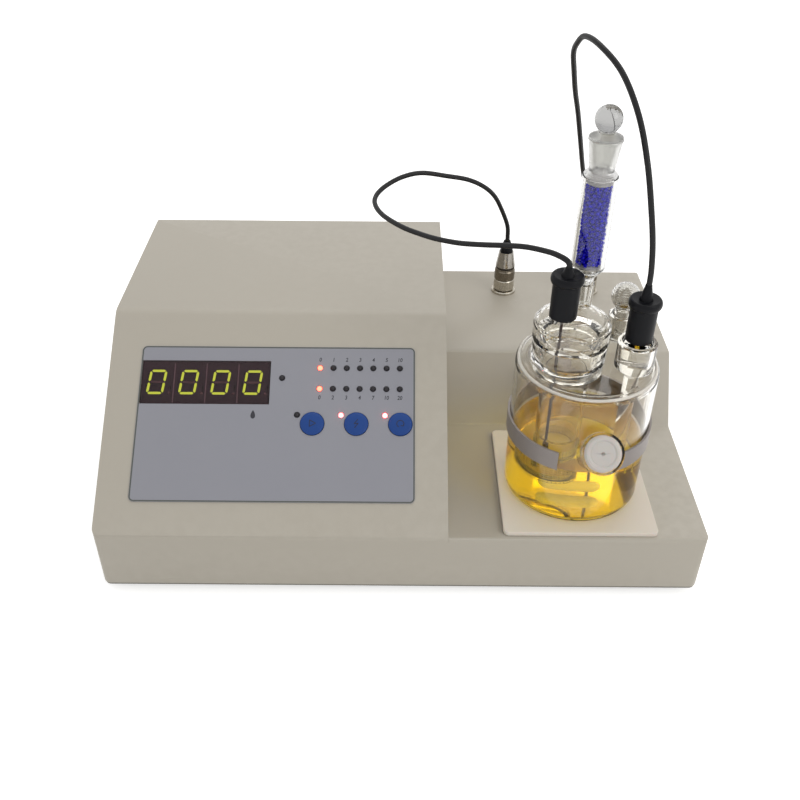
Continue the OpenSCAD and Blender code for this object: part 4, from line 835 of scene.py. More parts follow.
def bored(body: bpy.types.Object, drills: Sequence[bpy.types.Object]) -> bpy.types.Object:
    """Cuts drills out of a body.

    Args:
        body: the body. It is used up.
        drills: closed objects. They are used up.

    Returns:
        What is left of the body.
    """
    for drill in drills:
        cut = body.modifiers.new("Bore", "BOOLEAN")
        cut.operation, cut.solver, cut.object = "DIFFERENCE", "EXACT", drill
    name = body.name
    mesh = baked(body)
    for drill in drills:
        bpy.data.objects.remove(drill)
    return smooth_object(name, mesh)


# Shapes made by Geometry Nodes

class ShapeTree(NodeGroup):
    """A Geometry Nodes tree that makes a shape from points or edges."""

    tree_kind = "GeometryNodeTree"
    outputs = {"Geometry": GEOMETRY}

    def finish(self, geometry: bpy.types.NodeSocket) -> None:
        """Ends the tree in Realize Instances and Set Material.

        Args:
            geometry: the shape's socket.
        """
        real = self.graph.add("GeometryNodeRealizeInstances", {"Geometry": geometry})
        values = {"Geometry": real.outputs[0], "Material": self.source.outputs["Material"]}
        self.give("Geometry", self.graph.add("GeometryNodeSetMaterial", values).outputs[0])

    def smooth(self, geometry: bpy.types.NodeSocket) -> bpy.types.NodeSocket:
        """Returns the geometry, shaded smooth."""
        return self.graph.add("GeometryNodeSetShadeSmooth", {"Geometry": geometry}).outputs[0]

    def circle(self, sides: Setting, radius: Setting) -> bpy.types.NodeSocket:
        """Returns a circle as a curve."""
        values = {"Resolution": sides, "Radius": radius}
        return self.graph.add("GeometryNodeCurvePrimitiveCircle", values).outputs[0]

    def run(self, carrier: bpy.types.Object, values: dict[str, object]) -> bpy.types.Object:
        """Runs the tree on an object and keeps the result as a plain mesh.

        Args:
            carrier: the object whose mesh feeds the tree. It is used up.
            values: input name to value.

        Returns:
            A new object with the tree's result.
        """
        modifier = carrier.modifiers.new("Shape", "NODES")
        modifier.node_group = self.graph.tree
        for item in self.graph.tree.interface.items_tree:
            if item.item_type == "SOCKET" and item.in_out == "INPUT" and item.name in values:
                modifier[item.identifier] = values[item.name]
        name = carrier.name
        return new_object(name, baked(carrier))


class BeadTree(ShapeTree):
    """Puts a bead of a random size and turn on each point."""

    name = "beads_on_points"
    inputs = {"Geometry": (GEOMETRY, None), "Bead radius": (VALUE, 0.001), "Smallest": (VALUE, 0.8),
              "Largest": (VALUE, 1.1), "Seed": (WHOLE, 7), "Material": (MATERIAL, None)}
    fineness = 2
    narrowest: Point = (0.9, 0.9, 0.9)
    widest: Point = (1.1, 1.1, 1.1)
    full_turn: Point = (6.28, 6.28, 6.28)

    def draw(self, low: Setting, high: Setting, data_type: str) -> bpy.types.Node:
        """Draws a random number or vector for each point.

        Args:
            low: the least that it may be.
            high: the most that it may be.
            data_type: FLOAT for a number, FLOAT_VECTOR for a vector.

        Returns:
            The node that draws it.
        """
        first, second = (2, 3) if data_type == "FLOAT" else (0, 1)
        values = {first: low, second: high, "Seed": self.source.outputs["Seed"]}
        return self.graph.add("FunctionNodeRandomValue", values, data_type=data_type)

    def wire(self) -> None:
        """Squeezes, scales and turns a bead for each point."""
        graph, source = self.graph, self.source.outputs
        ball = {"Radius": source["Bead radius"], "Subdivisions": self.fineness}
        bead = graph.add("GeometryNodeMeshIcoSphere", ball).outputs[0]
        squeeze = self.draw(self.narrowest, self.widest, "FLOAT_VECTOR").outputs[0]
        size = self.draw(source["Smallest"], source["Largest"], "FLOAT").outputs[1]
        scale = graph.add("ShaderNodeVectorMath", {0: squeeze, "Scale": size}, operation="SCALE").outputs[0]
        turn = self.draw((0.0, 0.0, 0.0), self.full_turn, "FLOAT_VECTOR").outputs[0]
        self.finish(graph.add("GeometryNodeInstanceOnPoints", {
            "Points": source[0], "Instance": self.smooth(bead), "Rotation": turn, "Scale": scale}).outputs[0])


class WireTree(ShapeTree):
    """Turns each edge of a mesh into a round wire."""

    name = "wires_on_edges"
    inputs = {"Geometry": (GEOMETRY, None), "Wire diameter": (VALUE, 0.0003), "Sides": (WHOLE, 6),
              "Material": (MATERIAL, None)}

    def wire(self) -> None:
        """Sweeps a circle along the edges."""
        graph, source = self.graph, self.source.outputs
        line = graph.add("GeometryNodeMeshToCurve", {"Mesh": source[0]}).outputs[0]
        section = self.circle(source["Sides"], graph.times(source["Wire diameter"], 0.5))
        tube = {"Curve": line, "Profile Curve": section, "Fill Caps": True}
        self.finish(self.smooth(graph.add("GeometryNodeCurveToMesh", tube).outputs[0]))


class RimTree(ShapeTree):
    """Puts a round rim on each point, turned to face along a tilted surface."""

    name = "rims_on_points"
    inputs = {"Geometry": (GEOMETRY, None), "Rim radius": (VALUE, 0.002), "Rim width": (VALUE, 0.0003),
              "Tilt": (VALUE, 0.0), "Material": (MATERIAL, None)}
    rim_sides = 28
    section_sides = 8

    def wire(self) -> None:
        """Sweeps a small circle round a large one for each point."""
        graph, source = self.graph, self.source.outputs
        section = self.circle(self.section_sides, graph.times(source["Rim width"], 0.5))
        ring = {"Curve": self.circle(self.rim_sides, source["Rim radius"]), "Profile Curve": section}
        rim = self.smooth(graph.add("GeometryNodeCurveToMesh", ring).outputs[0])
        turn = graph.add("ShaderNodeCombineXYZ", {"X": source["Tilt"]}).outputs[0]
        placed = {"Points": source[0], "Instance": rim, "Rotation": turn}
        self.finish(graph.add("GeometryNodeInstanceOnPoints", placed).outputs[0])


# Finishing pieces

class Workshop:
    """Holds the finishes and puts each piece on its body."""

    def __init__(self, finishes: Iterable[Finish]) -> None:
        """Builds the finishes and the shape trees.

        Args:
            finishes: every finish that a piece or a node can get.
        """
        self.finishes = {finish.name: finish.build() for finish in finishes}
        self.trees = {tree: tree() for tree in (BeadTree, WireTree, RimTree)}
        self.made = 0

    def dress(self, node: str, finish: str) -> None:
        """Gives a CAD node's object a finish."""
        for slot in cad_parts[node].material_slots:
            slot.material = self.finishes[finish]

    def fit(self, piece: bpy.types.Object, finish: str, body: str, slot: str,
            replaces: Sequence[str] = ()) -> None:
        """Finishes a piece, lets it ride and reports it.

        Args:
            piece: the piece, in place.
            finish: the finish's name.
            body: the CAD body that it rides on.
            slot: the record's material slot. It is not used.
            replaces: CAD nodes that it stands for.
        """
        piece.data.materials.clear()
        piece.data.materials.append(self.finishes[finish])
        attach(piece, body)
        if replaces:
            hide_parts(*replaces)
        self.made += 1
        LOG.info("%s rides on %s", piece.name, body)

    def grow(self, mesh: bpy.types.Mesh, tree: type[ShapeTree], values: dict[str, object], finish: str,
             body: str, slot: str, replaces: Sequence[str] = ()) -> None:
        """Makes a piece with a shape tree and fits it.

        Args:
            mesh: points or edges that feed the tree. The piece gets its name.
            tree: the kind of shape tree.
            values: the tree's inputs, without its material.
            finish: the finish's name.
            body: the CAD body that the piece rides on.
            slot: the record's material slot.
            replaces: CAD nodes that it stands for.
        """
        values = {**values, "Material": self.finishes[finish]}
        piece = self.trees[tree].run(new_object(mesh.name, mesh), values)
        self.fit(piece, finish, body, slot, replaces)


@dataclass
class Assembly:
    """A part of the meter that the workshop finishes."""

    shop: Workshop

    def build(self) -> None:
        """Makes and fits the part's pieces."""
        raise NotImplementedError


# The meter's finishes

METAL_TURNED: Point = (1.0, 1.0, 8.0)


def painted_finishes() -> list[Finish]:
    """Lists the finishes of the housing, its panel and its boards.

    Returns:
        The finishes.
    """
    return [
        SolidFinish("grey_paint", srgb(182, 176, 164), roughness=0.42, mottle=0.05, slow_scale=9.0,
                    relief_scale=520.0, relief_depth=0.00005, relief_strength=0.45, dust=0.05, wear=0.35,
                    wear_colour=srgb(200, 195, 184)),
        SolidFinish("plate_paint", srgb(120, 118, 110), mottle=0.05, relief_scale=520.0, dust=0.05),
        SolidFinish("foot_rubber", srgb(38, 38, 40), roughness=0.8, relief_scale=1500.0, relief_strength=0.5),
        SolidFinish("panel_film", srgb(145, 146, 155), roughness=0.38, mottle=0.035, slow_scale=22.0,
                    relief_scale=2600.0, relief_depth=0.00002, relief_strength=0.3, dust=0.03),
        SolidFinish("print_dark", srgb(42, 42, 50), mottle=0.25, fine_scale=2500.0),
        SolidFinish("print_line", srgb(84, 88, 84), mottle=0.15, fine_scale=2500.0),
        SolidFinish("key_print", srgb(8, 20, 50), mottle=0.15, fine_scale=2500.0),
        SolidFinish("key_blue", srgb(24, 66, 136), roughness=0.4, mottle=0.06, relief_scale=1800.0,
                    relief_strength=0.3, specular=0.3),
        SolidFinish("board_green", srgb(24, 92, 52), roughness=0.35, mottle=0.2, fine_scale=500.0, coat=0.3),
        SolidFinish("moulded_grey", srgb(52, 52, 56), relief_scale=1400.0),
        SolidFinish("moulded_black", srgb(33, 33, 35), roughness=0.45, relief_scale=1400.0,
                    relief_strength=0.5, dust=0.05),
        SolidFinish("pad_white", srgb(222, 213, 201), mottle=0.035, slow_scale=25.0, relief_scale=1200.0,
                    relief_strength=0.3, subsurface=0.1),
        SolidFinish("winding_wrap", srgb(196, 150, 52), roughness=0.4, mottle=0.2, relief_scale=700.0,
                    relief_strength=0.6, coat=0.2),
        SolidFinish("lead_black", srgb(18, 18, 20), roughness=0.45, mottle=0.15, relief_scale=1500.0,
                    relief_strength=0.3, specular=0.3),
        SolidFinish("cap_black", srgb(15, 16, 20), roughness=0.45, mottle=0.12, relief_scale=1300.0,
                    relief_strength=0.35, specular=0.15),
    ]


def display_finishes() -> list[Finish]:
    """Lists the finishes of the display and of the lamps.

    Returns:
        The finishes.
    """
    return [
        GlassFinish("display_window", srgb(176, 158, 160), shadow_colour=srgb(150, 120, 122), ior=1.3,
                    roughness=0.02, wave_depth=0.0),
        SolidFinish("digit_face", srgb(72, 50, 60), roughness=0.55, mottle=0.12, fine_scale=1200.0),
        SolidFinish("digit_unlit", srgb(152, 124, 128), mottle=0.1),
        SolidFinish("digit_edge", srgb(128, 102, 110), mottle=0.1),
        GlowFinish("digit_lit", srgb(190, 205, 40), srgb(214, 250, 84), 1.5),
        SolidFinish("lamp_off", srgb(42, 40, 44), mottle=0.1, specular=0.3),
        SolidFinish("lamp_rim", srgb(56, 56, 62), roughness=0.4, mottle=0.1),
        GlowFinish("lamp_amber", srgb(200, 110, 60), (1.0, 0.10, 0.065), 6.0),
        GlowFinish("lamp_red", srgb(190, 60, 70), (1.0, 0.12, 0.125), 8.5),
    ]


def metal_finishes() -> list[Finish]:
    """Lists the finishes of bare and plated metal.

    Returns:
        The finishes.
    """
    return [
        SolidFinish("zinc_steel", srgb(176, 176, 178), roughness=0.32, metallic=1.0, mottle=0.12,
                    fine_scale=900.0),
        SolidFinish("core_laminate", srgb(88, 86, 84), roughness=0.45, metallic=0.8, mottle=0.2,
                    brushed=(1.0, 40.0, 1.0), relief_strength=0.5),
        SolidFinish("plated_steel", srgb(158, 158, 160), roughness=0.35, metallic=1.0, mottle=0.15,
                    brushed=(1.0, 1.0, 10.0)),
        SolidFinish("magnet_nickel", srgb(205, 203, 198), roughness=0.14, metallic=1.0, mottle=0.06),
        SolidFinish("satin_nickel", srgb(190, 184, 172), roughness=0.26, metallic=1.0, mottle=0.14,
                    fine_scale=700.0, brushed=METAL_TURNED, relief_strength=0.25),
        BandedFinish("banded_nickel", srgb(160, 156, 150), roughness=0.28, metallic=1.0, mottle=0.14,
                     fine_scale=700.0, brushed=METAL_TURNED, relief_strength=0.25,
                     bands=((0.0940, 0.1031, srgb(122, 114, 102)), (0.1034, 0.1050, srgb(66, 62, 58)))),
        SolidFinish("clip_strip", srgb(140, 133, 130), roughness=0.46, metallic=0.35, mottle=0.16,
                    slow_scale=60.0, brushed=(1.0, 1.0, 25.0), relief_strength=0.35),
        SolidFinish("platinum", srgb(200, 198, 196), roughness=0.22, metallic=1.0, mottle=0.1),
    ]


def cell_finishes() -> list[Finish]:
    """Lists the finishes of the titration cell and the drying tube.

    Returns:
        The finishes.
    """
    return [
        GlassFinish("blown_glass", (0.93, 0.92, 0.89), shadow_colour=(0.985, 0.985, 0.98), ior=1.39,
                    roughness=0.03),
        GlassFinish("chamber_glass", (0.95, 0.94, 0.91), shadow_colour=(0.985, 0.985, 0.98), ior=1.37),
        GlassFinish("tube_glass", (0.74, 0.74, 0.73), shadow_colour=(0.92, 0.92, 0.92), ior=1.42,
                    frost=0.32, frost_heights=(0.2400, 0.2580), frost_tint=(0.86, 0.86, 0.84)),
        GlassFinish("stopper_glass", (0.38, 0.38, 0.377), shadow_colour=(0.88, 0.88, 0.88), ior=1.42,
                    wave_depth=0.0, frost=0.32, frost_heights=(0.2382, 0.2602),
                    frost_tint=(0.64, 0.64, 0.62)),
        GlassFinish("bulb_glass", (0.70, 0.69, 0.66), shadow_colour=(0.94, 0.94, 0.93), ior=1.40,
                    wave_depth=0.0),
        GlassFinish("reagent", (1.0, 0.97, 0.66), shadow_colour=(1.0, 0.96, 0.68), ior=1.33,
                    wave_depth=0.0, absorb_colour=(0.993, 0.90, 0.0), absorb_density=66.0),
        # Painted highlight: a pale ring standing for the light caught by the vessel's shoulder.
        SolidFinish("shoulder_painted_highlight", srgb(224, 219, 211), roughness=0.4, mottle=0.12, slow_scale=60.0),
        SolidFinish("septum_white", srgb(204, 199, 194), roughness=0.55, mottle=0.06, slow_scale=90.0,
                    relief_scale=1100.0, relief_strength=0.4, subsurface=0.2),
        # Painted shade: grey strips that stand for the shade inside the needle's cut.
        SolidFinish("puncture_painted_shade", srgb(120, 112, 110), roughness=0.7, mottle=0.2),
        # Painted glow: the stir bar is no lamp; this glow lightens it inside the liquid.
        GlowFinish("stir_white", srgb(235, 234, 230), (1.0, 0.97, 0.90), 0.30),
        SolidFinish("frit", srgb(226, 218, 200), roughness=0.8, mottle=0.15, fine_scale=1500.0,
                    relief_scale=2200.0, relief_depth=0.0002, relief_strength=0.8),
        SolidFinish("stem_dark", srgb(46, 27, 22), roughness=0.35, mottle=0.2, fine_scale=800.0),
        SolidFinish("gel_blue", srgb(22, 14, 222), roughness=0.4, mottle=3.6, slow_scale=480.0,
                    fine_scale=1300.0, specular=0.25),
        SolidFinish("cotton", srgb(206, 203, 204), roughness=0.95, mottle=0.08, relief_scale=1900.0,
                    relief_depth=0.0004, relief_strength=0.9, sheen=0.4),
    ]


DRESSED_NODES: dict[str, Sequence[str]] = {
    "grey_paint": ("rear_panel",),
    "plate_paint": ("base_plate",),
    "foot_rubber": ("rubber_feet",),
    "zinc_steel": ("housing_screws", "standoffs", "clip_fasteners"),
    "panel_film": ("panel_film",),
    "display_window": ("display_filter",),
    "digit_face": ("digit_modules",),
    "board_green": ("display_board", "main_board"),
    "lamp_off": ("dark_lamps",),
    "lamp_amber": ("amber_lamps",),
    "lamp_red": ("red_lamps",),
    "core_laminate": ("transformer_core",),
    "winding_wrap": ("transformer_winding",),
    "plated_steel": ("stirrer_motor", "motor_bracket", "speed_control"),
    "moulded_grey": ("magnet_carrier",),
    "magnet_nickel": ("drive_magnets",),
    "moulded_black": ("mains_inlet", "fuse_drawer", "switch_frame", "power_rocker", "speed_knob"),
    "key_blue": ("key_start", "key_electrolysis", "key_stir"),
    "satin_nickel": ("panel_sockets", "electrolysis_ring", "measuring_ring"),
    "banded_nickel": ("electrolysis_plug", "measuring_plug"),
    "clip_strip": ("vessel_clip", "clip_bracket"),
    "blown_glass": ("reaction_vessel", "measuring_stem"),
    "chamber_glass": ("cathode_chamber",),
    "tube_glass": ("drying_tube",),
    "stopper_glass": ("drying_tube_stopper",),
    "bulb_glass": ("port_stopper",),
    "stir_white": ("stir_bar",),
    "frit": ("diaphragm",),
    "platinum": ("measuring_pins",),
    "cap_black": ("electrolysis_cap", "measuring_cap", "electrolysis_boot", "measuring_boot"),
    "stem_dark": ("electrolysis_stem",),
}


# Leads

@dataclass
class Lead(Assembly):
    """A thin black lead, held by its electrode's cap and its plug's boot."""

    name: str
    node: str
    route: Sequence[Point]
    with_nodes: Sequence[str]
    body: str
    diameter: float = 3.0
    steps: int = 10
    roundness: int = 5

    def line(self) -> list[Vector]:
        """Draws a smooth line through the route's points.

        Returns:
            The line's points, in metres.
        """
        knots = [Vector(p) * MM for p in self.route]
        knots = [2 * knots[0] - knots[1]] + knots + [2 * knots[-1] - knots[-2]]
        points = []
        for p0, p1, p2, p3 in zip(knots, knots[1:], knots[2:], knots[3:]):
            for k in range(self.steps):
                t = k / self.steps
                points.append(0.5 * (2 * p1 + (p2 - p0) * t + (2 * p0 - 5 * p1 + 4 * p2 - p3) * t ** 2
                                     + (3 * p1 - p0 - 3 * p2 + p3) * t ** 3))
        points.append(knots[-2])
        return points

    def build(self) -> None:
        points = self.line()
        curve = bpy.data.curves.new(self.name, "CURVE")
        curve.dimensions = "3D"
        spline = curve.splines.new("POLY")
        spline.points.add(len(points) - 1)
        for knot, point in zip(spline.points, points):
            knot.co = (*point, 1.0)
        spline.use_smooth = True
        curve.bevel_depth = self.diameter / 2 * MM
        curve.bevel_resolution = self.roundness
        curve.use_fill_caps = True
        piece = new_object(self.name, curve)
        self.shop.fit(piece, "lead_black", self.body, "lead_black", [self.node])


ELECTROLYSIS_ROUTE: Sequence[Point] = (
    (83.7, -77, 196.3), (83.7, -77, 197.8), (82.4, -76, 199.5), (79, -73, 200.4), (74, -69, 200.6),
    (64, -60, 198.5), (54, -51, 194.6), (43, -41, 189.7), (31, -30.5, 185.1), (19, -20, 182.1),
    (9, -9, 179.8), (-1, 2, 178.6), (-12, 18, 178), (-17, 31, 179), (-16, 40, 181), (-10, 47, 184),
    (0, 53, 187), (12, 59, 187), (28, 66, 182), (42, 72, 177), (53, 77, 170), (61, 82, 161),
    (67, 86.5, 149), (72, 90, 136), (73, 91, 126.9), (73, 91, 123.9))
MEASURING_ROUTE: Sequence[Point] = (
    (124.7, -80, 188.3), (124.7, -80, 191.3), (124.3, -80, 198), (123, -79, 210), (120.4, -77, 225),
    (116.5, -69, 247), (112, -55, 266), (105, -38, 281), (96, -22, 289), (91, -6, 289), (89, 3, 283),
    (89, 10, 276), (92, 19, 264), (96, 29, 249), (101, 39, 233), (107, 51, 211), (113, 63, 189),
    (121, 77, 164), (128, 86, 143), (131.5, 90.4, 133), (132, 91, 126.9), (132, 91, 123.9))


# Studio

@dataclass(frozen=True)
class Lamp:
    """A square area lamp, in metres and watts."""

    name: str
    place: Point
    aim: Point
    size: float
    power: float
    colour: Colour

    def build(self) -> None:
        """Adds the lamp, pointing at its aim."""
        data = bpy.data.lights.new(self.name, "AREA")
        data.size, data.energy, data.color = self.size, self.power, self.colour
        lamp = new_object(self.name, data)
        facing = (Vector(self.aim) - Vector(self.place)).to_track_quat("-Z", "Y")
        lamp.matrix_world = Matrix.Translation(self.place) @ facing.to_matrix().to_4x4()


@dataclass
class Studio:
    """Camera, lamps, world and floor."""

    camera_place: Point = (-0.0021, -0.4912, 0.4257)
    camera_pitch: float = 52.82
    camera_yaw: float = -0.156
    camera_roll: float = 0.533
    lens: float = 41.86
    sensor: float = 36.0
    nearest: float = 0.01
    farthest: float = 60.0
    ambient: float = 0.65
    ambient_colour: Colour = (1.0, 0.99, 0.97)
    floor_size: float = 12.0
    floor_drop: float = 0.05
    lamps: Sequence[Lamp] = (
        Lamp("overhead", (0.2, 0.75, 1.55), (0.0, 0.0, 0.05), 1.2, 5.6, (1.0, 0.985, 0.965)),
        Lamp("window", (1.15, -0.85, 1.0), (0.05, -0.05, 0.1), 0.8, 5.7, (1.0, 0.99, 0.975)),
    )

    def build_camera(self) -> None:
        """Adds the camera at the photograph's viewing angle."""
        data = bpy.data.cameras.new("camera")
        data.lens, data.sensor_width = self.lens, self.sensor
        data.clip_start, data.clip_end = self.nearest, self.farthest
        camera = new_object("camera", data)
        place = Matrix.Translation(self.camera_place)
        for angle, axis in ((self.camera_yaw, "Z"), (self.camera_pitch, "X"), (self.camera_roll, "Z")):
            place = place @ Matrix.Rotation(math.radians(angle), 4, axis)
        camera.matrix_world = place
        bpy.context.scene.camera = camera

    def build_world(self) -> None:
        """Lights softly from all round, and shows white to the camera, to gloss and through glass."""
        world = bpy.data.worlds.new("studio")
        world.use_nodes = True
        world.node_tree.nodes.clear()
        graph = Graph(world.node_tree)
        soft = graph.add("ShaderNodeBackground", {"Color": self.ambient_colour, "Strength": self.ambient})
        white = graph.add("ShaderNodeBackground", {"Color": WHITE, "Strength": 1.0})
        mix = graph.add("ShaderNodeMixShader", {0: graph.seen(), 1: soft.outputs[0], 2: white.outputs[0]})
        graph.add("ShaderNodeOutputWorld", {"Surface": mix.outputs[0]})
        bpy.context.scene.world = world

    def build_floor(self) -> None:
        """Adds a plain white floor that keeps the meter's shadow."""
        half = self.floor_size / 2 / MM
        square = ((-half, -half), (half, -half), (half, half), (-half, half))
        corners = [(x, y, -self.floor_drop) for x, y in square]
        floor = mesh_piece("floor", [(corners, [(0, 1, 2, 3)])])
        floor.data.materials.append(FloorFinish("floor_white").build())

    def build(self) -> None:
        """Makes the world, the floor and the lamps."""
        self.build_world()
        self.build_floor()
        for lamp in self.lamps:
            lamp.build()


# Housing

@dataclass
class Housing(Assembly):
    """The painted shell with rounded side edges."""

    edge_radius: float = 2.4
    steps: int = 4
    least_bend: float = 40.0
    straight: float = 0.99
    slack: float = 0.02
    foot_rim: float = 1.0
    outer_margin: float = 20.0
    upright: float = 0.999

    def build(self) -> None:
        """Rounds the shell's side edges and paints it."""
        low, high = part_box("upper_shell")
        work = merged_copy("upper_shell")
        sides = (low.x, high.x, self.console_side(work))
        rim = low.z + self.foot_rim * MM
        edges = [edge for edge in work.edges if self.is_side_edge(edge, sides, rim)]
        shell = bevelled("housing_shell", work, edges, self.edge_radius, self.steps, clamp=True)
        self.shop.fit(shell, "grey_paint", "housing", "housing_paint", ["upper_shell"])
        LOG.info("shell: %d edges rounded", len(edges))

    def is_side_edge(self, edge: bmesh.types.BMEdge, sides: Sequence[float], rim: float) -> bool:
        """Tells whether an edge runs round one of the shell's upright sides.

        Args:
            edge: the edge.
            sides: X of each upright side in metres.
            rim: height in metres below which no edge is rounded.

        Returns:
            True for an edge to round.
        """
        if len(edge.link_faces) != 2 or not edge.is_convex:
            return False
        one, other = (face.normal for face in edge.link_faces)
        if one.angle(other) < math.radians(self.least_bend):
            return False
        middle = (edge.verts[0].co + edge.verts[1].co) / 2
        faces_side = max(abs(one.x), abs(other.x)) > self.straight
        on_side = any(abs(middle.x - x) < self.slack * MM for x in sides)
        return faces_side and on_side and middle.z > rim

    def console_side(self, work: bmesh.types.BMesh) -> float:
        """Finds the console's right side: the widest face that looks right and isn't the outside.

        Args:
            work: the shell's bmesh.

        Returns:
            Its X in metres.
        """
        limit = max(v.co.x for v in work.verts) - self.outer_margin * MM
        faces = [f for f in work.faces if f.normal.x > self.upright and f.calc_center_median().x < limit]
        return max(faces, key=lambda face: face.calc_area()).calc_center_median().x


# Control panel

@dataclass(frozen=True)
class Slope:
    """The console's slope. Places on it are millimetres right, up the slope and out from the paint.

    The slope starts at Y front and height base. The film's corner is at X left, and low up the slope.
    """

    left: float = -156.0
    low: float = 20.4
    front: float = -120.0
    base: float = 45.5
    angle: float = math.atan2(79.0, 115.0)

    def at(self, x: float, y: float, out: float = 0.0) -> Vector:
        """Returns the place at x, y and out in the CAD model's frame, in millimetres."""
        up, rise, run = self.low + y, math.sin(self.angle), math.cos(self.angle)
        return Vector((self.left + x, self.front + up * run - out * rise, self.base + up * rise + out * run))

    def prism(self, outline: Sequence[Spot], levels: Spot) -> Shape:
        """Returns a flat shape between two distances out from the paint, as corners and faces."""
        return loft([[self.at(x, y, out) for x, y in outline] for out in levels])


@dataclass(frozen=True)
class Film:
    """The panel film's size, and the places of the lamps and keys on it, in millimetres."""

    width: float = 164.0
    length: float = 95.4
    corner: float = 3.0
    top: float = 0.62
    lamp_x: float = 107.2
    lamp_pitch: float = 7.95
    lamps_in_row: int = 7
    row_heights: Spot = (82.0, 68.9)
    end_lamp: Spot = (84.7, 75.45)
    key_x: float = 103.6
    key_y: float = 47.1
    key_pitch: float = 25.9
    key_lamp: Spot = (-9.1, 5.4)
    keys: int = 3

    def lamp_places(self) -> list[Spot]:
        """Finds the lamps.

        Returns:
            The places of the two rows, the end-point lamp and the keys' lamps.
        """
        columns = [self.lamp_x + i * self.lamp_pitch for i in range(self.lamps_in_row)]
        rows = [(x, y) for y in self.row_heights for x in columns]
        side, up = self.key_lamp
        keys = [(self.key_x + i * self.key_pitch + side, self.key_y + up) for i in range(self.keys)]
        return rows + [self.end_lamp] + keys


@dataclass
class PanelPart(Assembly):
    """Something on the console's slope or its film."""

    slope: Slope = Slope()
    film: Film = Film()


@dataclass
class FilmPrint(PanelPart):
    """The film's border, the numbers over and under the lamps' rows, and a drop sign."""

    depth: float = 0.05
    sink: float = 0.02
    line_inset: float = 0.15
    line_width: float = 0.75
    least_corner: float = 0.3
    corner_steps: int = 6
    row_numbers: Sequence[Sequence[str]] = (("0", "1", "2", "3", "4", "5", "10"),
                                            ("0", "2", "3", "4", "7", "10", "20"))
    row_gaps: Spot = (5.2, -5.6)
    number_size: float = 3.45
    number_width: float = 0.86
    number_lean: float = 0.12
    number_weight: float = 0.05
    number_smoothness: int = 3
    drop_place: Spot = (68.5, 52.6)
    drop_half_width: float = 1.764
    drop_half_height: float = 2.604
    drop_fullness: float = 0.9
    drop_sides: int = 24

    def levels(self) -> Spot:
        """Returns the print's lower and upper distance out from the paint."""
        return self.film.top - self.sink, self.film.top + self.depth

    def border(self) -> Shape:
        """Makes the printed line round the film.

        Returns:
            Its corners and faces.
        """
        low, top = self.levels()
        loops = []
        for inset in (self.line_inset, self.line_inset + self.line_width):
            far = (self.film.width - inset, self.film.length - inset)
            radius = max(self.film.corner - inset, self.least_corner)
            loops.append(rounded_rectangle((inset, inset), far, radius, self.corner_steps))
        points = []
        for outer, inner in zip(*loops):
            points += [self.slope.at(*outer, low), self.slope.at(*inner, low), self.slope.at(*inner, top),
                       self.slope.at(*outer, top)]
        return points, skin(len(loops[0]), 4, looped=True, closed=True)

    def number(self, text: str, x: float, y: float) -> Shape:
        """Makes a printed number.

        Args:
            text: its digits.
            x: the X of its middle on the film.
            y: how far up the film its middle is.

        Returns:
            Its corners and faces.
        """
        curve = bpy.data.curves.new("number", "FONT")
        curve.body, curve.size, curve.shear = text, self.number_size, self.number_lean
        curve.align_x = curve.align_y = "CENTER"
        curve.extrude, curve.offset = self.depth / 2, self.number_weight
        curve.resolution_u = self.number_smoothness
        mesh = baked(new_object("number", curve))
        wide, out = self.number_width, self.film.top + self.depth / 2
        points = [self.slope.at(x + v.co.x * wide, y + v.co.y, out + v.co.z) for v in mesh.vertices]
        faces = [tuple(face.vertices) for face in mesh.polygons]
        bpy.data.curves.remove(curve)
        bpy.data.meshes.remove(mesh)
        return points, faces

    def drop_outline(self) -> list[Spot]:
        """Draws a drop, a generic sign for water.

        Returns:
            The outline's places on the film.
        """
        x, y = self.drop_place
        outline = []
        for k in range(self.drop_sides):
            turn = 2 * math.pi * k / self.drop_sides
            wide = self.drop_half_width * math.sin(turn) * math.sin(turn / 2) ** self.drop_fullness
            outline.append((x + wide, y + self.drop_half_height * math.cos(turn)))
        return outline

    def build(self) -> None:
        """Prints the border, the lamp rows' numbers and the drop."""
        self.shop.fit(mesh_piece("film_border", [self.border()]), "print_line", "housing", "panel_print")
        marks = []
        for row, gap, numbers in zip(self.film.row_heights, self.row_gaps, self.row_numbers):
            for i, text in enumerate(numbers):
                marks.append(self.number(text, self.film.lamp_x + i * self.film.lamp_pitch, row + gap))
        marks.append(self.slope.prism(self.drop_outline(), self.levels()))
        self.shop.fit(mesh_piece("film_numbers", marks), "print_dark", "housing", "panel_print")


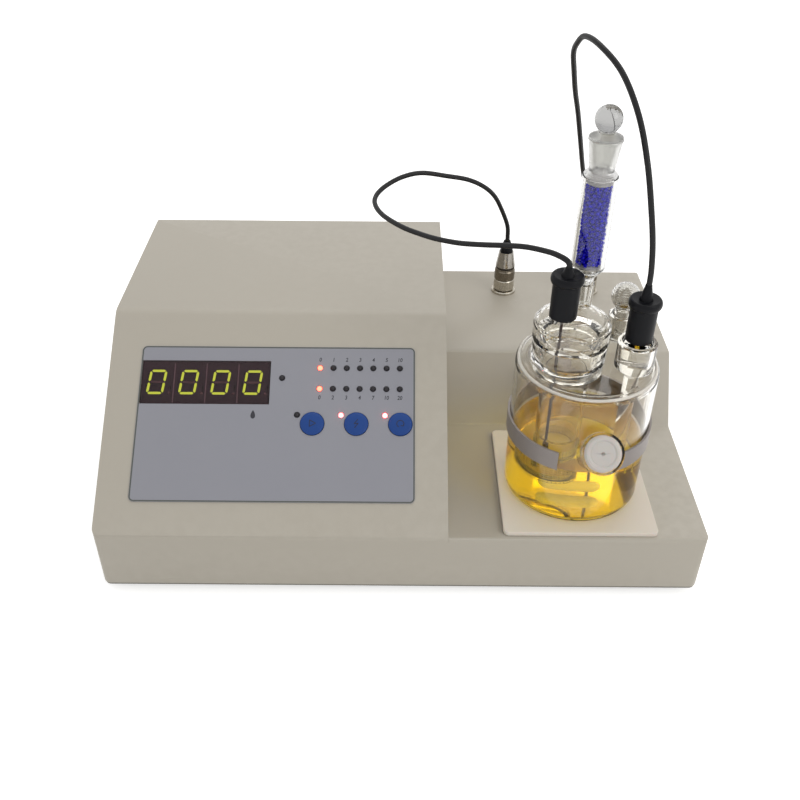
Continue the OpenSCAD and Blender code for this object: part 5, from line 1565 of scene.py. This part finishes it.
@dataclass
class Digits(PanelPart):
    """The display's lit noughts with their unlit bars and points, and the seams between its modules."""

    left: float = 1.0
    low: float = 59.1
    modules: int = 4
    module_width: float = 19.1
    module_length: float = 26.8
    module_top: float = -1.4
    height: float = 14.0
    half_width: float = 4.4
    shift: float = -0.8
    rise: float = 0.5
    lean: float = 0.12
    bar_width: float = 1.4
    bar_gap: float = 0.3
    bar_levels: Spot = (-0.3, -0.04)
    dot_radius: float = 0.9
    dot_shift: float = -2.4
    dot_sides: int = 16
    seam_width: float = 0.7
    seam_inset: float = 1.0
    seam_levels: Spot = (-0.5, 0.03)

    def middle(self) -> float:
        """Returns how far up the film the digits' middles are."""
        return self.low + self.module_length / 2 + self.rise

    def corner_of(self, module: int, side: int, level: int) -> Spot:
        """Finds a corner of a digit.

        Args:
            module: the module's number.
            side: -1 for left, 1 for right.
            level: -1 for the bottom, 0 for the middle, 1 for the top.

        Returns:
            The corner's place on the film.
        """
        up = level * self.height / 2
        x = self.left + (module + 0.5) * self.module_width + self.shift + side * self.half_width
        return x + up * self.lean, self.middle() + up

    def flat(self, outline: Sequence[Spot], levels: Spot) -> Shape:
        """Returns a flat shape between two heights over the modules, as corners and faces."""
        return self.slope.prism(outline, (self.module_top + levels[0], self.module_top + levels[1]))

    def bar(self, start: Spot, end: Spot) -> Shape:
        """Makes one bar of a digit, with pointed ends.

        Args:
            start: the corner that it starts from.
            end: the corner that it goes to.

        Returns:
            Its corners and faces.
        """
        along = (Vector(end) - Vector(start)).normalized()
        across = Vector((-along.y, along.x)) * self.bar_width / 2
        a, b = Vector(start) + along * self.bar_gap, Vector(end) - along * self.bar_gap
        inset = along * self.bar_width / 2
        outline = [a, a + inset - across, b - inset - across, b, b - inset + across, a + inset + across]
        return self.flat(outline, self.bar_levels)

    def seam(self, x: float) -> list[Spot]:
        """Draws the seam between two modules.

        Args:
            x: where the modules meet.

        Returns:
            The seam's outline.
        """
        half = self.seam_width / 2
        low, high = self.low + self.seam_inset, self.low + self.module_length - self.seam_inset
        return [(x - half, low), (x + half, low), (x + half, high), (x - half, high)]

    def build(self) -> None:
        """Lights a nought on each module, and leaves its middle bar and its point unlit."""
        lit, unlit, seams = [], [], []
        for module in range(self.modules):
            left, right = ([self.corner_of(module, side, level) for level in (-1, 0, 1)] for side in (-1, 1))
            lit += [self.bar(left[0], right[0]), self.bar(left[2], right[2])]
            lit += [self.bar(side[i], side[i + 1]) for side in (left, right) for i in (0, 1)]
            unlit.append(self.bar(left[1], right[1]))
            edge = self.left + (module + 1) * self.module_width
            dot = (edge + self.dot_shift, self.middle() - self.height / 2)
            unlit.append(self.flat(circle(dot, self.dot_radius, self.dot_sides), self.bar_levels))
            if module < self.modules - 1:
                seams.append(self.flat(self.seam(edge), self.seam_levels))
        self.shop.fit(mesh_piece("digits_lit", lit), "digit_lit", "housing", "digit_body")
        self.shop.fit(mesh_piece("digits_unlit", unlit), "digit_unlit", "housing", "digit_body")
        self.shop.fit(mesh_piece("digit_seams", seams), "digit_edge", "housing", "digit_body")


@dataclass
class LampRims(PanelPart):
    """A thin rim round each lamp's hole."""

    radius: float = 1.75
    width: float = 0.3
    lift: float = 0.02

    def build(self) -> None:
        """Makes the rims."""
        out = self.film.top + self.lift
        cloud = loose_mesh("lamp_rims", [self.slope.at(x, y, out) for x, y in self.film.lamp_places()])
        values = {"Rim radius": self.radius * MM, "Rim width": self.width * MM, "Tilt": self.slope.angle}
        self.shop.grow(cloud, RimTree, values, "lamp_rim", "housing", "panel_print")


class Symbol(Enum):
    """The generic mark on a key."""

    RUN = "run"
    BOLT = "bolt"
    STIR = "stir"


@dataclass
class KeyMarks(PanelPart):
    """The symbols printed on the crowned tops of the three keys."""

    reach: float = 6.4
    top: float = 1.8
    crown: float = 0.6
    stroke_width: float = 0.5
    stroke_levels: Spot = (-0.1, 0.05)
    leg_steps: int = 6
    run_corners: Sequence[Spot] = ((-1.5, 2.0), (2.1, 0.0), (-1.5, -2.0), (-1.5, 2.0))
    bolt_corners: Sequence[Spot] = ((0.9, 2.6), (-1.2, -0.2), (1.2, 0.2), (-0.9, -2.6))
    stir_radius: float = 2.1
    stir_start: float = -40.0
    stir_sweep: float = 285.0
    stir_steps: int = 19
    stir_barbs: Sequence[Spot] = ((0.5, 1.4), (-1.5, 0.3))

    def on_key(self, key: int, x: float, y: float, lift: float) -> Vector:
        """Finds a place on a key's crowned top.

        Args:
            key: the key's number.
            x: distance right of the key's middle.
            y: distance up from its middle.
            lift: height above the crown.

        Returns:
            The place in the CAD frame, in millimetres.
        """
        bulge = math.sqrt(max(0.0, 1 - (x * x + y * y) / self.reach ** 2))
        out = self.top - self.crown + self.crown * bulge + lift
        return self.slope.at(self.film.key_x + key * self.film.key_pitch + x, self.film.key_y + y, out)

    def stroke(self, key: int, line: Sequence[Spot]) -> Shape:
        """Makes a printed stroke that follows the crown of a key.

        Args:
            key: the key's number.
            line: the stroke's middle line about the key's middle.

        Returns:
            Its corners and faces.
        """
        low, high = self.stroke_levels
        rings = []
        for i, (x, y) in enumerate(line):
            ahead = Vector(line[min(i + 1, len(line) - 1)]) - Vector(line[max(i - 1, 0)])
            side = Vector((-ahead.y, ahead.x)).normalized() * self.stroke_width / 2
            rings.append([self.on_key(key, x + sign * side.x, y + sign * side.y, lift)
                          for sign, lift in ((1, high), (-1, high), (-1, low), (1, low))])
        return loft(rings)

    def legs(self, corners: Sequence[Spot]) -> list[list[Spot]]:
        """Draws straight strokes from corner to corner.

        Args:
            corners: the corners.

        Returns:
            Each stroke's line, in short steps.
        """
        shares = [k / self.leg_steps for k in range(self.leg_steps + 1)]
        return [[(a[0] + (b[0] - a[0]) * share, a[1] + (b[1] - a[1]) * share) for share in shares]
                for a, b in zip(corners, corners[1:])]

    def lines(self, symbol: Symbol) -> list[list[Spot]]:
        """Draws a symbol.

        Args:
            symbol: the symbol.

        Returns:
            Its strokes' lines, in millimetres about the key's middle.
        """
        if symbol is Symbol.RUN:
            return self.legs(self.run_corners)
        if symbol is Symbol.BOLT:
            return self.legs(self.bolt_corners)
        turn = arc((0.0, 0.0), self.stir_radius, self.stir_start, self.stir_sweep, self.stir_steps)
        tip = turn[0]
        barbs = [self.legs([tip, (tip[0] + x, tip[1] + y)])[0] for x, y in self.stir_barbs]
        return [turn] + barbs

    def build(self) -> None:
        """Marks each key with its symbol."""
        keys = (("start_mark", Symbol.RUN, "start_key"),
                ("electrolysis_mark", Symbol.BOLT, "electrolysis_key"),
                ("stir_mark", Symbol.STIR, "stir_key"))
        for key, (name, symbol, body) in enumerate(keys):
            strokes = [self.stroke(key, line) for line in self.lines(symbol)]
            self.shop.fit(mesh_piece(name, strokes), "key_print", body, "key_blue")


# Titration cell

@dataclass(frozen=True)
class CellPlan:
    """Where the parts of the titration cell stand, in millimetres. The cell's middle is the vessel's axis."""

    middle: Spot = (101.6, -71.0)
    foot: float = 48.8
    chamber_x: float = -10.9
    tube_radius: float = 13.0
    overlap: float = 0.06

    def upright(self, x: float = 0.0, y: float = 0.0, z: float = 0.0) -> Matrix:
        """Returns an upright axis, with x and y from the cell's middle and z from the vessel's foot."""
        return Matrix.Translation((self.middle[0] + x, self.middle[1] + y, self.foot + z))


@dataclass
class CellPart(Assembly):
    """A part of the titration cell."""

    plan: CellPlan = CellPlan()


@dataclass
class Pad(Assembly):
    """The white pad under the vessel, with rounded edges."""

    edge_radius: float = 0.6
    steps: int = 3
    least_bend: float = 60.0

    def build(self) -> None:
        """Rounds the pad's edges and finishes it."""
        work = merged_copy("vessel_pad")
        edges = []
        for edge in work.edges:
            normals = [face.normal for face in edge.link_faces]
            if len(normals) == 2 and normals[0].angle(normals[1]) > math.radians(self.least_bend):
                edges.append(edge)
        pad = bevelled("white_pad", work, edges, self.edge_radius, self.steps)
        self.shop.fit(pad, "pad_white", "housing", "pad_white", ["vessel_pad"])


@dataclass
class Reagent(CellPart):
    """The liquid in the vessel and in the chamber's tube.

    A rise is how far in from the glass and how high above the liquid a place of its raised edge lies.
    """

    vessel_radius: float = 39.2
    wall: float = 2.0
    foot_radius: float = 4.0
    foot_steps: int = 8
    level: float = 37.5
    rises: Sequence[Spot] = ((0.0, 0.9), (0.3, 0.5), (0.9, 0.15), (2.0, 0.0))
    tube_low: float = 15.5
    tube_sides: int = 96
    probe: Spot = (23.1, -9.0)
    stem_radius: float = 4.0
    stem_low: float = 28.2
    stem_shoulder: float = 29.4
    stem_sides: int = 48
    drill_top: float = 60.0
    chamber_gap: float = 0.2
    chamber_sink: float = 0.15
    chamber_rise: Spot = (1.2, 0.5)
    chamber_sides: int = 72

    def drill(self, radius: float, low: float, shoulder: float, place: Matrix,
              sides: int) -> bpy.types.Object:
        """Makes a drill that leaves room for glass standing in the reagent.

        Args:
            radius: the glass's radius.
            low: height of its tip.
            shoulder: height at which it is as wide as its radius.
            place: where its axis stands.
            sides: steps round the axis.

        Returns:
            The drill.
        """
        reach = radius - self.plan.overlap
        profile = [(0, low), (reach, shoulder), (reach, self.drill_top), (0, self.drill_top)]
        return lathe("drill", profile, place, sides)

    def fill_vessel(self) -> None:
        """Fills the vessel up to the glass, with a small rise at the edge."""
        wet, floor = self.vessel_radius - self.wall + self.plan.overlap, self.wall - self.plan.overlap
        rise = [(wet - inward, self.level + up) for inward, up in self.rises]
        outside = [(0, floor), (wet, floor), *rise[:2]]
        profile = rounded_path(outside, self.foot_radius - self.wall, self.foot_steps)
        body = lathe("reagent_body", profile + rise[2:] + [(0, self.level)], self.plan.upright())
        tube = self.drill(self.plan.tube_radius, self.tube_low, self.tube_low,
                          self.plan.upright(self.plan.chamber_x), self.tube_sides)
        stem = self.drill(self.stem_radius, self.stem_low, self.stem_shoulder,
                          self.plan.upright(*self.probe), self.stem_sides)
        self.shop.fit(bored(body, [tube, stem]), "reagent", "vessel", "reagent", ["electrolyte"])

    def fill_chamber(self) -> None:
        """Fills the chamber's tube up to the glass."""
        low, high = (Vector(corner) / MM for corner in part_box("catholyte"))
        radius = (high.x - low.x) / 2 + self.chamber_gap + self.plan.overlap
        bottom, top = low.z - self.chamber_sink, high.z
        inward, up = self.chamber_rise
        profile = [(0, bottom), (radius, bottom), (radius, top + up), (radius - inward, top), (0, top)]
        axis = self.plan.upright(self.plan.chamber_x, z=-self.plan.foot)
        liquid = lathe("catholyte_body", profile, axis, self.chamber_sides)
        self.shop.fit(liquid, "reagent", "chamber", "reagent", ["catholyte"])

    def build(self) -> None:
        """Fills the vessel and the chamber's tube."""
        self.fill_vessel()
        self.fill_chamber()


@dataclass
class Shoulder(CellPart):
    """A painted highlight: a pale ring in the glass where the vessel's dome meets its wall."""

    wire: float = 1.7
    radius: float = 37.03
    height: float = 86.33
    steps: int = 144
    sides: int = 10

    def build(self) -> None:
        """Lays the painted highlight ring inside the glass of the shoulder."""
        height = self.plan.foot + self.height
        ring = [(x, y, height) for x, y in circle(self.plan.middle, self.radius, self.steps)]
        line = loose_mesh("shoulder_painted_highlight", ring, [(i, (i + 1) % self.steps) for i in range(self.steps)])
        values = {"Wire diameter": self.wire * MM, "Sides": self.sides}
        self.shop.grow(line, WireTree, values, "shoulder_painted_highlight", "vessel", "cell_glass")


@dataclass
class Septum(CellPart):
    """The white injection septum, with its shallow dish and the needle's puncture in painted shade.

    A slit is a ray of the puncture: which way it goes in degrees, and how far.
    """

    port: Point = (3.9, -49.0, 60.8)
    tilt: float = 36.0
    profile: Sequence[Spot] = (
        (0, -7), (9.1, -7), (9.9, -6), (9.9, -0.4), (8.7, 0.6), (7.5, 0.6), (6.7, -0.05), (5.9, 0.12),
        (1.2, 0.2), (0.5, -0.35), (0, -0.5))
    corner: float = 0.45
    corner_steps: int = 4
    sides: int = 72
    slits: Sequence[Spot] = ((4, 4.2), (70, 0.8), (128, 1.0), (177, 4.4), (250, 0.9), (310, 0.8))
    slit_start: float = 0.25
    slit_half_width: float = 0.11
    slit_levels: Spot = (0.05, 0.235)

    def slit(self, place: Matrix, angle: float, reach: float) -> Shape:
        """Makes one ray of the puncture, a grey strip of painted shade that runs to a point.

        Args:
            place: the septum's axis.
            angle: which way the ray goes, in degrees.
            reach: how far from the middle it ends.

        Returns:
            Its corners and faces.
        """
        turn = math.radians(angle)
        along = Vector((math.cos(turn), math.sin(turn), 0))
        side = Vector((-math.sin(turn), math.cos(turn), 0)) * self.slit_half_width
        corners = (along * self.slit_start + side, along * self.slit_start - side, along * reach)
        heights = [Vector((0, 0, level)) for level in self.slit_levels]
        return loft([[place @ (corner + height) for corner in corners] for height in heights])

    def build(self) -> None:
        """Makes the septum and the painted shade of its puncture."""
        place = self.plan.upright(*self.port) @ Matrix.Rotation(math.radians(90 - self.tilt), 4, "X")
        profile = rounded_path(self.profile, self.corner, self.corner_steps)
        disc = lathe("septum_disc", profile, place, self.sides)
        self.shop.fit(disc, "septum_white", "septum", "septum_white", ["injection_septum"])
        # The puncture's grey strips are painted shade for the needle's cut.
        slits = [self.slit(place, angle, reach) for angle, reach in self.slits]
        self.shop.fit(mesh_piece("septum_puncture_painted_shade", slits), "puncture_painted_shade", "septum", "septum_white")


@dataclass
class Gauze(CellPart):
    """The platinum gauze round the lower end of the chamber's tube."""

    gap: float = 0.3
    inset: float = 0.2
    wire: float = 0.35
    columns: int = 40
    rows: int = 10
    sides: int = 6

    def build(self) -> None:
        """Weaves wires round and along the tube."""
        low, high = (corner.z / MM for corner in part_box("anode_mesh"))
        bottom, top = low + self.inset, high - self.inset
        middle = (self.plan.middle[0] + self.plan.chamber_x, self.plan.middle[1])
        ring = circle(middle, self.plan.tube_radius + self.gap, self.columns)
        points, edges = [], []
        for row in range(self.rows):
            height = bottom + (top - bottom) * row / (self.rows - 1)
            start = len(points)
            points += [(x, y, height) for x, y in ring]
            for i in range(self.columns):
                edges.append((start + i, start + (i + 1) % self.columns))
                if row:
                    edges.append((start - self.columns + i, start + i))
        weave = loose_mesh("platinum_gauze", points, edges)
        values = {"Wire diameter": self.wire * MM, "Sides": self.sides}
        self.shop.grow(weave, WireTree, values, "platinum", "chamber", "platinum", ["anode_mesh"])


@dataclass
class DryingTube(Assembly):
    """The drying tube's blue gel beads and its two cotton plugs."""

    bead: float = 1.15
    smallest: float = 0.70
    largest: float = 1.03
    packing: float = 0.60
    shakes: int = 120
    shake_share: float = 0.35
    far_apart: float = 100.0
    least: float = 1e-9
    place_seed: int = 11
    size_seed: int = 5
    low_plug: float = 1.5
    high_plug: float = 3.0
    plug_columns: int = 40
    plug_rows: int = 10
    plug_fullness: float = 1.9
    plug_end: float = 0.02
    lump: float = 0.10
    lift: float = 0.35
    lump_seed: int = 3
    plug_sharp: float = 80.0

    def bead_places(self, foot: Vector, radius: float, height: float) -> np.ndarray:
        """Packs beads loosely into an upright cylinder.

        Args:
            foot: the middle of the cylinder's lower end, in millimetres.
            radius: its radius.
            height: its height.

        Returns:
            The beads' places in millimetres.
        """
        rng = np.random.default_rng(self.place_seed)
        bead, inner = self.bead, radius - self.bead
        count = int(self.packing * radius ** 2 * height / (4 / 3 * bead ** 3))
        turn, reach = rng.uniform(0, 2 * math.pi, count), inner * np.sqrt(rng.uniform(0, 1, count))
        up = rng.uniform(bead, height - bead, count)
        places = np.stack([reach * np.cos(turn), reach * np.sin(turn), up], 1)
        for _ in range(self.shakes):
            gap = places[:, None, :] - places[None, :, :]
            length = np.sqrt((gap ** 2).sum(2)) + np.eye(count) * self.far_apart + self.least
            push = np.clip(2 * bead - length, 0, None) / length
            places += self.shake_share * (gap * push[:, :, None]).sum(1)
            flat = np.sqrt(places[:, 0] ** 2 + places[:, 1] ** 2) + self.least
            places[:, :2] *= np.minimum(1, inner / flat)[:, None]
            places[:, 2] = np.clip(places[:, 2], bead, height - bead)
        return places + np.array(foot)

    def plug(self, foot: Vector, radius: float, levels: Spot, rng: random.Random) -> Shape:
        """Makes a lumpy wad of cotton.

        Args:
            foot: a place on the tube's axis, in millimetres.
            radius: the tube's inner radius.
            levels: the wad's lower and upper height.
            rng: where its lumps come from.

        Returns:
            Its corners and faces.
        """
        base, top = levels
        rings = []
        for row in range(self.plug_rows + 1):
            share = row / self.plug_rows
            height = base + (top - base) * (0.5 - 0.5 * math.cos(math.pi * share))
            inside = min(max(share, self.plug_end), 1 - self.plug_end)
            reach = radius * min(1.0, math.sin(math.pi * inside) * self.plug_fullness)
            loose = self.lift if 0 < row < self.plug_rows else 0.0
            ring = []
            for i in range(self.plug_columns):
                turn = 2 * math.pi * i / self.plug_columns
                wide = reach * (1 - self.lump * rng.random())
                up = height + (rng.random() - 0.5) * loose
                ring.append((foot.x + wide * math.cos(turn), foot.y + wide * math.sin(turn),
                             min(max(up, base), top)))
            rings.append(ring)
        return loft(rings)

    def build(self) -> None:
        """Fills the tube with beads between two cotton plugs."""
        low, high = (Vector(corner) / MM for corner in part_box("silica_gel"))
        foot, radius = Vector(((low.x + high.x) / 2, (low.y + high.y) / 2, low.z)), (high.x - low.x) / 2
        cloud = loose_mesh("gel_beads", self.bead_places(foot, radius, high.z - low.z))
        values = {"Bead radius": self.bead * MM, "Smallest": self.smallest, "Largest": self.largest,
                  "Seed": self.size_seed}
        self.shop.grow(cloud, BeadTree, values, "gel_blue", "dryer", "gel_blue", ["silica_gel"])
        base, top = (corner.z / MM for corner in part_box("cotton_plugs"))
        rng = random.Random(self.lump_seed)
        plugs = [self.plug(foot, radius, levels, rng)
                 for levels in ((base, base + self.low_plug), (top - self.high_plug, top))]
        wads = mesh_piece("cotton_wads", plugs, self.plug_sharp)
        self.shop.fit(wads, "cotton", "dryer", "cotton", ["cotton_plugs"])


# Transformer

@dataclass
class WindingTurns(Assembly):
    """The wire turns on the outside of the transformer's winding."""

    wire: float = 0.9
    proud: float = 0.2
    corner: float = 4.0
    corner_steps: int = 4
    turns: int = 26
    sides: int = 6

    def build(self) -> None:
        """Winds the turns, which climb as one wire does, and lets them ride with the housing."""
        low, high = (Vector(corner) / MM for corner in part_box("transformer_winding"))
        inset = self.wire / 2 - self.proud
        way = rounded_rectangle((low.x + inset, low.y + inset), (high.x - inset, high.y - inset),
                                self.corner - inset, self.corner_steps)
        count = len(way) * self.turns
        bottom, top = low.z + self.wire, high.z - self.wire
        points = [(*way[i % len(way)], bottom + (top - bottom) * i / (count - 1)) for i in range(count)]
        line = loose_mesh("winding_turns", points, [(i, i + 1) for i in range(count - 1)])
        values = {"Wire diameter": self.wire * MM, "Sides": self.sides}
        self.shop.grow(line, WireTree, values, "winding_wrap", "housing", "winding_copper")


# All together


def main() -> None:
    """Builds the studio and the meter's looks."""
    logging.basicConfig(level=logging.INFO, format="%(name)s: %(message)s")
    scene = bpy.context.scene
    scene.view_settings.view_transform = "Standard"
    scene.cycles.max_bounces = scene.cycles.transmission_bounces = LIGHT_BOUNCES
    scene.cycles.transparent_max_bounces = LIGHT_BOUNCES
    studio = Studio()
    studio.build_camera()
    for effect in (Mottle, Relief, Brushed, Dust, EdgeWear):
        effect()
    shop = Workshop(painted_finishes() + display_finishes() + metal_finishes() + cell_finishes())
    Lead(shop, "electrolysis_cord", "electrolysis_lead", ELECTROLYSIS_ROUTE,
         ("electrolysis_plug", "electrolysis_boot", "electrolysis_ring"), "electrolysis_electrode").build()
    Lead(shop, "measuring_cord", "measuring_lead", MEASURING_ROUTE,
         ("measuring_plug", "measuring_boot", "measuring_ring"), "measuring_electrode").build()
    studio.build()
    for finish, nodes in DRESSED_NODES.items():
        for node in nodes:
            shop.dress(node, finish)
    for part in (Housing, FilmPrint, Digits, LampRims, KeyMarks, Pad, Reagent, Shoulder, Septum, Gauze,
                 DryingTube, WindingTurns):
        part(shop).build()
    LOG.info("%d pieces made", shop.made)


if __name__ == "__main__":
    main()
